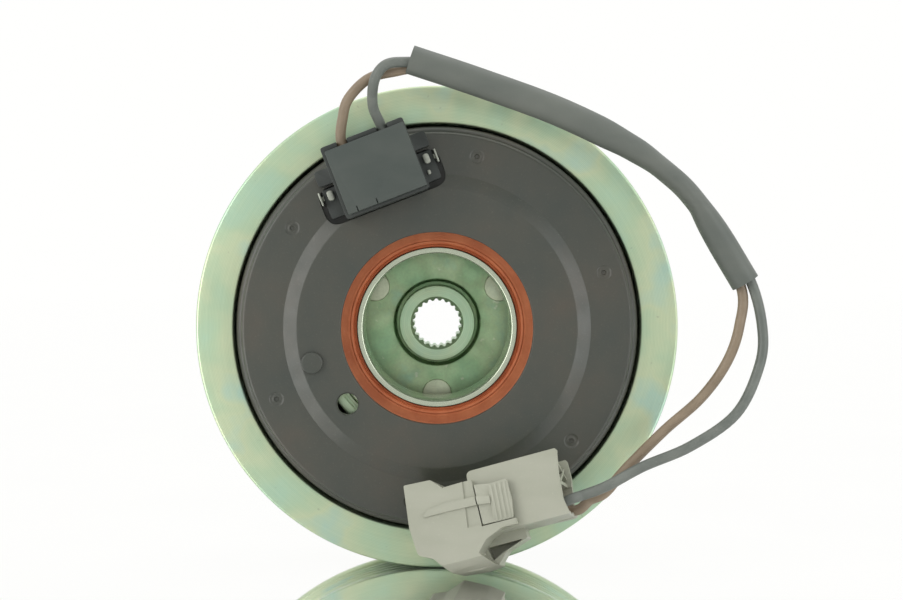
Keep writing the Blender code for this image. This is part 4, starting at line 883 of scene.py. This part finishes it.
def leaf_spring(number, degrees, stations=36, cap_steps=9):
    """A flat strip from the hub rivet to the armature rivet, built flat in stations along its length. The
    real strip bends along that length as the armature moves."""
    place = Matrix.Rotation(-math.radians(degrees), 4, "Y")
    half, low, high = SPRING_HALF_W, SPRING_REAR_Y, SPRING_FRONT_Y
    cap = [half - half * math.cos(math.radians(90 * i / cap_steps)) for i in range(cap_steps + 1)]
    lengths = [v - half for v in cap]
    lengths += [SPRING_REACH * i / stations for i in range(1, stations)]
    lengths += [SPRING_REACH + half - v for v in cap[::-1]]
    bm = bmesh.new()
    rows = []
    for along in lengths:
        over = max(-along, along - SPRING_REACH, 0)
        wide = math.sqrt(max(half**2 - over**2, 1e-10))
        soft = min(0.00015, wide * 0.4)
        flat = wide - soft
        section = [
            (-wide, low + soft), (-flat, low), (0, low), (flat, low), (wide, low + soft),
            (wide, high - soft), (flat, high), (0, high), (-flat, high), (-wide, high - soft),
        ]
        rows.append([bm.verts.new(place @ Vector((HUB_RIVETS_AT + a, y, along))) for a, y in section])
    for near, far in zip(rows, rows[1:]):
        bridge(bm, near, far)
    bm.faces.new(rows[0])
    bm.faces.new(rows[-1][::-1])
    strip = mesh_object(f"spring_leaf_{number}", bm)
    material, slot = SKINS["spring_steel"]
    strip.data.materials.append(material)
    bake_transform(strip)
    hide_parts(f"leaf_spring_{number}")


def stop_plate():
    arms = []
    half, root, shoulder = STOP_ARM_W / 2, HUB_RIVETS_AT - 0.003, HUB_RIVETS_AT + 0.004
    outline = arc(STOP_AT, 0, half, -90, 90, 18) + [
        (shoulder, half + 0.0014), (root, half + 0.0045), (root, -half - 0.0045), (shoulder, -half - 0.0014)
    ]
    for degrees in HUB_RIVET_DEG:
        place = Matrix.Rotation(-math.radians(degrees), 4, "Y")
        arms.append(plate(f"stop_arm_{degrees:.0f}", outline, STOP_REAR_Y, STOP_FRONT_Y, place))
    ring = [
        (HUB_RIVETS_AT, STOP_FRONT_Y), (HUB_RIVETS_AT, STOP_REAR_Y),
        (STOP_HOLE_R, STOP_REAR_Y), (STOP_HOLE_R, STOP_FRONT_Y),
    ]
    piece = joined(turned("stop_spider", ring, COARSE_STEPS), *arms)
    shanks = (bore(SHANK_HOLE_R, 0.03, 0.05), HUB_RIVETS_AT)
    stems = (bore(STOP_STEM_R + 0.0001, 0.03, 0.05), STOP_AT)
    cut(piece, rivet_tool("stop_hole_tool", shanks, stems))
    show(bevelled(piece, 0.00018), "hub", "rivet_zinc", "stop_plate")
    pad_rear, pad_front = ARMATURE_FRONT_Y + 0.00015, STOP_REAR_Y - 0.0001
    button = STOP_FRONT_Y + 0.0001
    profile = rounded([
        (0, button + 0.001), (STOP_BUTTON_R * 0.75, button + 0.001, 0.0004),
        (STOP_BUTTON_R, button, 0.0003), (STOP_STEM_R, button, 0), (STOP_STEM_R, pad_front, 0),
        (STOP_PAD_R, pad_front, 0.0002), (STOP_PAD_R, pad_rear, 0.0002), (0, pad_rear),
    ], 0, 3, False)
    for i, degrees in enumerate(HUB_RIVET_DEG, 1):
        made = turned(f"armature_buffer_{i}", profile, SMALL_STEPS, polar(STOP_AT, degrees))
        show(made, "hub", "black_rubber", f"rubber_stop_{i}")


# ==== Terminal block ====

def block_box(name, t, y, n, corner=0.0):
    return plate(name, rounded(box_outline(*t, *n), corner, 4), *y, BLOCK_FRAME)


def foot_outline():
    """The foot fills the plate's opening in the middle and stands clear of its two inner corners."""
    half, high = OPENING_HALF_T - 0.0013, OPENING_OUT_N - 0.0004
    middle, low, raised = 0.0104, OPENING_IN_N + 0.0004, OPENING_IN_N + 0.0017
    return [
        (-half, high), (-half, raised), (-middle, raised), (-middle, low),
        (middle, low), (middle, raised), (half, raised), (half, high),
    ]


def wire_notch(side):
    """Lets one lead out through the box's outer wall."""
    middle, half, top = side * WIRE_SPREAD, WIRE_R + 0.0001, WIRE_Y + WIRE_R + 0.0001
    y, n = (BLOCK_REAR_Y - 0.001, top), (BLOCK_OUT_N - 0.0024, BLOCK_OUT_N + 0.001)
    return block_box(f"notch_tool_{side + 1}", (middle - half, middle + half), y, n)


def terminal_block():
    floor_y, rim_y = -0.0003, PLATFORM_H - 0.0003
    wide, wall = BLOCK_HALF_T, BLOCK_WALL
    base_y, base_n = (BLOCK_REAR_Y, floor_y), (BLOCK_IN_N, BLOCK_OUT_N)
    base = block_box("terminal_body", (-wide, wide), base_y, base_n, 0.0007)
    foot_y = (PLATFORM_H - 0.001, CUP_REAR_Y - 0.0003)
    post_n = (OPENING_IN_N + 0.0014, OPENING_OUT_N - 0.0014)
    neck_y, pad_y = (PLATFORM_H, CUP_REAR_Y + CUP_FLOOR), (floor_y - 0.001, rim_y)
    ear_y = (rim_y - 0.0022, rim_y - 0.0002)
    post_t, pad_t = (-wide + 0.001, wide - 0.001), (-wide + 0.0002, wide - 0.0002)
    joined(
        base,
        plate("foot_tool", rounded(foot_outline(), 0.0005, 3), *foot_y, BLOCK_FRAME),
        block_box("post_tool", post_t, (floor_y - 0.001, PLATFORM_H), post_n),
        block_box("neck_tool", (-0.0118, 0.0118), neck_y, (0.0348, 0.0393)),
        block_box("pad_tool", pad_t, pad_y, (0.0371, BLOCK_OUT_N - 0.0025)),
        block_box("ear_tool", (-0.0138, 0.0138), ear_y, (0.0404, 0.0442), 0.0008),
    )
    pocket = block_box(
        "pocket_tool",
        (wall - wide, wide - wall),
        (BLOCK_REAR_Y - 0.001, -BLOCK_FLOOR),
        (BLOCK_IN_N + wall, BLOCK_OUT_N - wall),
    )
    cut(base, pocket, wire_notch(-1), wire_notch(1))
    # The box's darker plastic is painted shade, not a different plastic from the lid's.
    show(bevelled(base, 0.00022), "stator", "box_plastic", "terminal_base")
    terminal_lid()
    clip("terminal_clip_left", -1)
    clip("terminal_clip_right", 1)
    diode()


def terminal_lid():
    """A flat lid set in from the box's outer edges, with two slits in its inner edge."""
    front = BLOCK_REAR_Y - 0.00015
    lid_y, lid_n = (front - COVER_T, front), (LID_IN_N, LID_OUT_N)
    lid = block_box("terminal_lid", (LID_LEFT_T, LID_RIGHT_T), lid_y, lid_n, 0.0004)
    slit_y, slit_n = (front - 0.003, front - 0.0005), (LID_IN_N - 0.001, LID_IN_N + 0.0013)
    for i, t in enumerate(LID_SLITS_T):
        cut(lid, block_box(f"slit_tool_{i}", (t - 0.00013, t + 0.00013), slit_y, slit_n))
    show(bevelled(lid, 0.00022), "stator", "block_plastic", "terminal_cover")


def clip(name, side):
    """A tinned strip that stands up at the foot's edge, with the round head of its contact beside it."""
    rear = PLATFORM_H - 0.0016
    strip = [(0.0141, 0.0361), (0.0146, 0.0361), (0.0146, 0.0393), (0.0141, 0.0393)]
    stub = rounded(box_outline(0.0112, 0.0127, 0.0366, 0.039), 0.0007, 4)
    bar = box_outline(0.0122, 0.0143, 0.0372, 0.0383)
    shapes = [(strip, -0.0018, 0.0018), (stub, -0.0012, 0.0016), (bar, 0.0009, 0.0017)]
    if side > 0:
        shapes.append((rounded(box_outline(0.011, 0.0118, 0.0341, 0.0352), 0.0003, 3), -0.0002, 0.0006))
    bm = bmesh.new()
    for outline, low, high in shapes:
        prism(bm, [(side * t, n) for t, n in outline], rear + low, rear + high, BLOCK_FRAME)
    piece = bevelled(mesh_object(f"{name}_strip", bm), 0.00015)
    show(piece, "stator", "tinned", name)


def diode():
    half = DIODE_L / 2
    profile = rounded([
        (0, half + 0.002), (0.0003, half + 0.002), (0.0003, half, 0.0001), (DIODE_R, half, 0.0003),
        (DIODE_R, -half, 0.0003), (0.0003, -half, 0.0001), (0.0003, -half - 0.002), (0, -half - 0.002),
    ], 0, 3, False)
    body = turned("diode_body", profile, SMALL_STEPS)
    spin = Matrix.Rotation(math.pi / 2, 4, "Z")
    body.data.transform(BLOCK_FRAME @ Matrix.Translation((0, DIODE_Y, DIODE_N)) @ spin)
    show(body, "stator", "cast_resin", "surge_diode")


# ==== Plug ====

PLUG_MID_Y = (PLUG_FRONT_Y + TAIL_REAR_Y) / 2
PLUG_MID = Matrix.Translation(((PLUG_NOSE_P + PLUG_TAIL_P) / 2, PLUG_MID_Y, PLUG_CORE_Q))
PLUG_ROLL = Matrix.Rotation(math.radians(PLUG_ROLL_DEG), 4, "X")
PLUG_YAW = Matrix.Rotation(math.radians(PLUG_YAW_DEG), 4, "Z")
PLUG_TILT = Matrix.Translation(PLUG_ORIGIN) @ Matrix.Rotation(-math.radians(PLUG_TILT_DEG), 4, "Y")
PLUG_FRAME = PLUG_TILT @ PLUG_MID @ PLUG_ROLL @ PLUG_YAW @ PLUG_MID.inverted()


def on_plug(p, y, q):
    return PLUG_FRAME @ Vector((p, y, q))


def plug_part(name, outline, y_rear, y_front, corner=0.0):
    return plate(name, rounded(outline, corner, 5), y_rear, y_front, PLUG_FRAME)


def plug_box(name, p, y, q, corner=0.0):
    return plug_part(name, box_outline(*p, *q), *y, corner)


def plug_bar(name, section, p_low, p_high):
    """A (Y, q) section run along the plug."""
    bm = bmesh.new()
    solid(bm, *([on_plug(p, y, q) for y, q in section] for p in (p_low, p_high)))
    return mesh_object(name, bm)


def hood():
    """The plug's wide end, open for its mate, with the arch that a thumb reaches through."""
    face, back = HOOD_REAR_Y, PLUG_FRONT_Y
    shell = plug_part("plug_shell", [
        (PLUG_NOSE_P + 0.0004, -0.0318, 0.0004), (-0.0092, -0.0321, 0.0004), (-0.0068, -0.0345, 0.0005),
        (-0.0001, -0.0343, 0.0004), (-0.0001, -0.0451, 0), (0.0078, -0.0451, 0),
        (0.0082, -0.0492, 0.0004), (0.003, -0.0509, 0.003), (0.0004, -0.0536, 0.0004),
        (-0.003, -0.054, 0.0015),
        (-0.0093, -0.0535, 0.001), (-0.0124, -0.0495, 0.0012), (-0.0131, -0.0491, 0.0004),
        (-0.0157, -0.0479, 0.0014), (-0.0163, -0.0415, 0.003),
    ], face, back)
    arch = plug_part("arch_tool", [
        (0.0005, -0.056), (0.0005, -0.0537, 0), (-0.0022, -0.0506, 0.0006), (0.0003, -0.048, 0.003),
        (0.0044, -0.0464, 0.003), (0.012, -0.0466), (0.012, -0.056),
    ], face - 0.001, face + 0.0078, 0.0001)
    beyond = plug_box("wing_room_tool", (0.0006, 0.015), (face + 0.013, back + 0.001), (-0.058, -0.0471))
    hollow = plug_part("arch_hollow_tool", [
        (-0.0014, -0.0493, 0.0003), (0.0075, -0.0492, 0.0002),
        (0.0021, -0.0511, 0.0006), (-0.0006, -0.0524, 0.0002),
    ], face + 0.007, face + 0.0118)
    under = plug_bar("underside_tool", [
        (face - 0.001, -0.0514), (face, -0.0514), (face + 0.0012, -0.0526),
        (face + 0.004, -0.0537), (face + 0.004, -0.056), (face - 0.001, -0.056),
    ], -0.012, 0.004)
    step = plug_part("step_tool", [
        (-0.002, -0.033), (-0.0033, -0.0446), (0.001, -0.0446), (0.001, -0.033),
    ], face - 0.001, face + 0.0004)
    room_y = (face + HOOD_WALL, back - HOOD_WALL)
    mouth = plug_box("mouth_tool", (PLUG_NOSE_P - 0.002, -0.0053), room_y, (-0.0465, -0.0336), 0.0008)
    return cut(shell, arch, beyond, hollow, under, step, mouth)


def tail():
    """The block that the wires enter: a near body, a taller far wall and the pockets in its end."""
    near = plug_part("plug_tail_tool", [
        (-0.0012, -0.0321, 0.0014), (0.0197, -0.032, 0.0004), (0.0201, -0.0325, 0.0004),
        (0.0193, -0.0376, 0.004), (0.0189, -0.0434, 0.005), (0.0196, -0.0469, 0.0005),
        (-0.0012, -0.0469, 0.001),
    ], TAIL_REAR_Y, PLUG_FRONT_Y + 0.0004)
    far = plug_part("plug_far_wall_tool", [
        (0.015, -0.033, 0.0004), (0.0196, -0.033, 0.0008), (0.0203, -0.034, 0.001),
        (0.0203, -0.0382, 0.003), (0.019, -0.047, 0.0004), (0.015, -0.047, 0.0004),
    ], PLUG_FRONT_Y - 0.002, PLUG_FRONT_Y + 0.0004)
    joined(near, far)
    rear, front = TAIL_REAR_Y + 0.0009, PLUG_FRONT_Y - 0.0013
    roof_y, lower_y = (rear + 0.0004, PLUG_FRONT_Y + 0.001), (rear + 0.0001, front - 0.0001)
    cut(near, plug_box("tail_roof_tool", (0.0177, 0.024), roof_y, (-0.0336, -0.031)))
    cut(near, plug_box("tail_pocket_upper", (0.0165, 0.023), (rear, front), (-0.0392, -0.0331), 0.0004))
    return cut(near, plug_box("tail_pocket_lower", (0.0161, 0.0235), lower_y, (-0.0462, -0.04), 0.0004))


def wire_height(side):
    """The height Y, on the plug, of the wire on this side."""
    return PLUG_MID_Y + side * PIN_SPACING_Y / 2


def along_plug(obj, side):
    """Turns a lathed shape's axis from Y to the plug's length, level with one wire."""
    level = Matrix.Translation((0, wire_height(side), WIRE_Q))
    obj.data.transform(PLUG_FRAME @ level @ Matrix.Rotation(-math.pi / 2, 4, "Z"))
    return obj


def wire_ways():
    """A bore for each wire from the tail, and the slit where its blade stands."""
    ways = []
    for side in (-1, 1):
        y = wire_height(side)
        slot_y, slot_q = (y - 0.0006, y + 0.0006), (WIRE_Q - 0.0012, WIRE_Q + 0.0012)
        hole = turned(f"wire_hole_{side + 1}", bore(0.0021, PIN_TAIL_P, 0.022), SMALL_STEPS)
        ways.append(plug_box(f"pin_slot_{side + 1}", (-0.007, PIN_TAIL_P + 0.001), slot_y, slot_q))
        ways.append(along_plug(hole, side))
    return ways


def tail_ribs():
    """Slanting webs that stiffen the open tail."""
    near_y, far_y = TAIL_REAR_Y + 0.0005, PLUG_FRONT_Y - 0.001
    ribs = []
    for i, (near_q, far_q) in enumerate(((-0.0338, -0.0378), (-0.039, -0.0352))):
        section = [(near_y, near_q), (far_y, far_q), (far_y, far_q - 0.0007), (near_y, near_q - 0.0007)]
        ribs.append(plug_bar(f"tail_rib_tool_{i}", section, 0.016, 0.0193))
    return ribs


def plug():
    shell = hood()
    joined(shell, tail())
    cut(shell, *wire_ways())
    arm = plug_part("latch_arm_tool", [
        (-0.0128, -0.04, 0.0003), (-0.0112, -0.0385, 0.0012), (-0.007, -0.038, 0.003),
        (-0.0001, -0.0383, 0), (-0.0001, -0.0402, 0), (-0.007, -0.04, 0.003),
    ], HOOD_REAR_Y - 0.0004, HOOD_REAR_Y + 0.0008)
    joined(shell, arm, *tail_ribs())
    show(bevelled(shell, 0.00022, 48), "stator", "plug_plastic", "plug_housing")
    for number, side in ((1, -1), (2, 1)):
        blade(number, side)
        wire_boot(number, side)
    lock_lever()


def blade(number, side):
    y, tip = wire_height(side), PLUG_NOSE_P + 0.004
    low, high = WIRE_Q - 0.001, WIRE_Q + 0.001
    pin = plug_part(f"blade_{number}", [
        (tip - 0.001, WIRE_Q, 0), (tip, high, 0.0002), (PIN_TAIL_P, high), (PIN_TAIL_P, low),
        (tip, low, 0.0002),
    ], y - 0.0004, y + 0.0004, 0.0001)
    show(bevelled(pin, 0.0001, 40), "stator", "tinned", f"plug_pin_{number}")


def wire_boot(number, side):
    """A rubber seal with three lips round its wire."""
    end = PLUG_TAIL_P - 0.003
    lips = [(0.00195, end, 0.0001)]
    for i in range(3):
        ridge = end - 0.0004 - 0.0014 * i
        lips += [(0.00195, ridge, 0.0002), (0.0016, ridge - 0.0005, 0.0002)]
    lips += [(0.0013, end - 0.0042, 0.0001), (0.0013, end, 0.0001)]
    boot = turned(f"wire_boot_{number}", rounded(lips, 0.0001, 2), SMALL_STEPS)
    show(along_plug(boot, side), "stator", "seal_rubber", f"wire_seal_{number}")


def lock_lever():
    """The latch tongue: the end of its arm, a thin web and a finely stepped thumb pad."""
    face, start = HOOD_REAR_Y, LEVER_ROOT_P
    root = start + 0.00005
    pad = plug_part("latch_tongue", [
        (0.0034, -0.0363, 0.0002), (0.0078, -0.0361, 0.0004), (0.0079, -0.041, 0.006),
        (0.0073, -0.0449, 0.0004), (0.0029, -0.0449, 0.0002),
    ], face, face + 0.0012)
    web = plug_part("latch_web_tool", [
        (root, -0.0356, 0.0003), (0.004, -0.0362, 0), (0.0034, -0.0448, 0), (root, -0.0448, 0.0003),
    ], face + 0.0004, face + 0.0012)
    arm = plug_part("latch_arm_end_tool", [
        (start, -0.0383, 0), (0.0032, -0.0389, 0.0002), (0.0031, -0.0406, 0.0002), (start, -0.0402, 0),
    ], face - 0.0004, face + 0.0008)
    ribs = []
    for i in range(4):
        top, foot = 0.0037 + 0.00105 * i, 0.0034 + 0.001 * i
        outline = [(top, -0.0366), (top + 0.0005, -0.0366), (foot + 0.0005, -0.0447), (foot, -0.0447)]
        ribs.append(plug_part(f"latch_rib_tool_{i}", outline, face - 0.00016, face + 0.0004))
    joined(pad, web, arm, *ribs)
    show(bevelled(pad, 0.0001, 48), "lock_lever", "plug_plastic", "lock_lever")


# ==== Leads ====

# Stations of each centre line, (X, Y, Z) in millimetres: the sleeve round the rim, and each lead from the
# block to the sleeve and from the sleeve to the plug.
SLEEVE_RUN = (
    (-6.1, -11.5, 61.5), (9.3, -11.5, 56.4), (27.9, -11.5, 49.6), (44.3, -11.5, 41.5), (53.6, -12.0, 34.7),
    (58.6, -12.0, 29.5), (62.2, -12.0, 24.0), (70.1, -12.0, 10.9),
)
BROWN_START = (
    (-21.7, -6.8, 48.2), (-20.3, -8.0, 52.8), (-15.7, -9.1, 57.3), (-9.8, -9.9, 58.9), (-3.5, -10.4, 59.4),
)
BLACK_START = (
    (-14.7, -7.8, 51.4), (-14.2, -11.9, 56.7), (-11.7, -12.9, 60.1), (-7.5, -12.7, 60.8),
    (-2.5, -12.7, 60.2),
)
BROWN_END = (
    (68.8, -12.0, 1.1), (66.0, -11.8, -7.2), (60.2, -11.8, -15.3), (51.8, -12.2, -22.7),
    (42.9, -13.2, -31.4), (38.1, -14.2, -36.7), (34.7, -13.8, -38.4),
)
BLACK_END = (
    (74.0, -12.6, -0.2), (72.9, -13.2, -8.9), (67.7, -14.2, -18.9), (57.3, -15.6, -26.0),
    (46.4, -17.2, -30.4), (38.1, -18.8, -34.6), (32.7, -17.8, -36.8),
)
# How far the pair of wires is turned in the sleeve at each station: 90 puts one behind the other.
PAIR_TURN_DEG = (90, 90, 90, 90, 90, 75, 45, 15)
# How far each wire leaves the plug above or below the bore that it came through.
TAIL_BEND = 0.0011
# The sleeve's half width where it bends flat: (station, metres).
SLEEVE_WIDTHS = (
    (0, 0.00333), (2.5, 0.00333), (3.0, 0.0029), (3.6, 0.00245), (5.1, 0.00245), (6.5, 0.0033),
    (7.0, 0.0033),
)


def in_metres(run):
    return [Vector(point) / 1000 for point in run]


def beside(points, offset):
    """One wire's run in the sleeve: this far from the centre line, turned at each station."""
    moved = []
    for i, (point, degrees) in enumerate(zip(points, PAIR_TURN_DEG)):
        heading = points[min(i + 1, len(points) - 1)] - points[max(i - 1, 0)]
        across = heading.cross(Vector((0, 1, 0))).normalized()
        turn = math.radians(degrees)
        moved.append(point + offset * (across * math.cos(turn) - Vector((0, math.sin(turn), 0))))
    return moved


def sleeve_radii(station):
    """The sleeve's radius along Y and across at a station: it keeps its girth where it is flat."""
    for (low, first), (high, second) in zip(SLEEVE_WIDTHS, SLEEVE_WIDTHS[1:]):
        if station <= high:
            t = (station - low) / (high - low)
            wide = first + (second - first) * t * t * (3 - 2 * t)
            return math.sqrt(2 * SLEEVE_R**2 - wide**2), wide


def lead(colour, side, start, end, plug_side):
    """One wire: out of the block, through the sleeve beside the other, and into the plug."""
    root = [
        BLOCK_FRAME @ Vector((side * WIRE_SPREAD, WIRE_Y, BLOCK_OUT_N + n)) for n in (-0.0029, 0.0005)
    ]
    y, bend = wire_height(plug_side), plug_side * TAIL_BEND
    plugged = [
        on_plug(PLUG_TAIL_P - 0.0002, y, WIRE_Q - bend),
        on_plug(PLUG_TAIL_P - 0.0055, y, WIRE_Q - bend / 5),
        on_plug(PIN_TAIL_P + 0.0008, y, WIRE_Q),
    ]
    inside = beside(in_metres(SLEEVE_RUN), side * SLEEVE_SPREAD)[1:]
    run = smooth_run(root + in_metres(start) + inside + in_metres(end) + plugged)
    piece = tube(f"{colour}_lead", run, [(WIRE_R, WIRE_R)] * len(run), WIRE_SIDES)
    show(piece, "stator", f"{colour}_jacket", f"lead_wire_{colour}")


def leads():
    lead("brown", -1, BROWN_START, BROWN_END, 1)
    lead("black", 1, BLACK_START, BLACK_END, -1)
    run = smooth_run(in_metres(SLEEVE_RUN))
    radii = [sleeve_radii(i / RUN_STEPS) for i in range(len(run))]
    piece = tube("lead_sleeve", run, radii, SLEEVE_SIDES, SLEEVE_WALL)
    show(piece, "stator", "sleeve_plastic", "wire_sleeve")


# ==== Stage ====

def floor():
    """A polished white table: nearly a mirror."""
    skin = Skin("studio_floor", FLOOR_MIRROR)
    skin.set("Roughness", FLOOR_ROUGHNESS)
    shade = skin.over((0.975, 0.975, 0.97), (0.99, 0.99, 0.985), skin.noise(14.0), 0.3, 0.7)
    skin.set("Base Color", shade)
    bm = bmesh.new()
    bmesh.ops.create_grid(bm, x_segments=2, y_segments=2, size=3.0)
    obj = mesh_object("studio_floor", bm)
    obj.location = (0, 0, CAD_BOX[0][2] - 0.0002)
    obj.data.materials.append(skin.material)


def light(name, place, size, power, tint):
    """A softbox turned to the object."""
    lamp = bpy.data.lights.new(name, "AREA")
    lamp.shape = "RECTANGLE"
    lamp.size, lamp.size_y = size
    lamp.energy = power
    lamp.color = tint
    obj = bpy.data.objects.new(name, lamp)
    obj.visible_camera = False
    obj.location = place
    obj.rotation_euler = (ORIGIN - Vector(place)).to_track_quat("-Z", "Y").to_euler()
    bpy.context.scene.collection.objects.link(obj)


def surroundings():
    """White all round, and darker on the camera's side, which the faces turned that way mirror."""
    world = bpy.data.worlds.new("studio")
    bpy.context.scene.world = world
    world.use_nodes = True
    nodes, links = world.node_tree.nodes, world.node_tree.links
    parts = nodes.new("ShaderNodeSeparateXYZ")
    links.new(nodes.new("ShaderNodeTexCoord").outputs["Generated"], parts.inputs[0])
    shade = nodes.new("ShaderNodeMapRange")
    shade.interpolation_type = "SMOOTHSTEP"
    for target, value in zip(shade.inputs[1:5], (-0.75, 0.15, FRONT_SHADE, 1.0)):
        target.default_value = value
    links.new(parts.outputs["Y"], shade.inputs[0])
    links.new(shade.outputs[0], nodes["Background"].inputs["Strength"])
    nodes["Background"].inputs["Color"].default_value = (1.0, 1.0, 0.99, 1.0)


def camera():
    lens = bpy.data.cameras.new("camera")
    lens.lens = CAMERA_LENS
    lens.sensor_width = SENSOR_W
    lens.sensor_fit = "HORIZONTAL"
    lens.clip_start, lens.clip_end = 0.01, 20.0
    obj = bpy.data.objects.new("camera", lens)
    rise = math.radians(CAMERA_RISE_DEG)
    back, up = CAMERA_DISTANCE * math.cos(rise), CAMERA_DISTANCE * math.sin(rise)
    obj.location = MOUNTING_FACE + Vector((0, RIM_REAR_Y - back, up))
    obj.rotation_euler = (math.radians(90 + CAMERA_PITCH_DEG), 0, math.radians(CAMERA_YAW_DEG))
    bpy.context.scene.collection.objects.link(obj)
    bpy.context.scene.camera = obj
    bpy.context.scene.view_settings.view_transform = "Standard"


mounting_plate()
coil_housing()
bobbin()
winding()
potting()
bearing()
rotor()
armature()
hub()
stop_plate()
terminal_block()
plug()
leads()
surroundings()
for softbox in SOFTBOXES:
    light(*softbox)
floor()
camera()
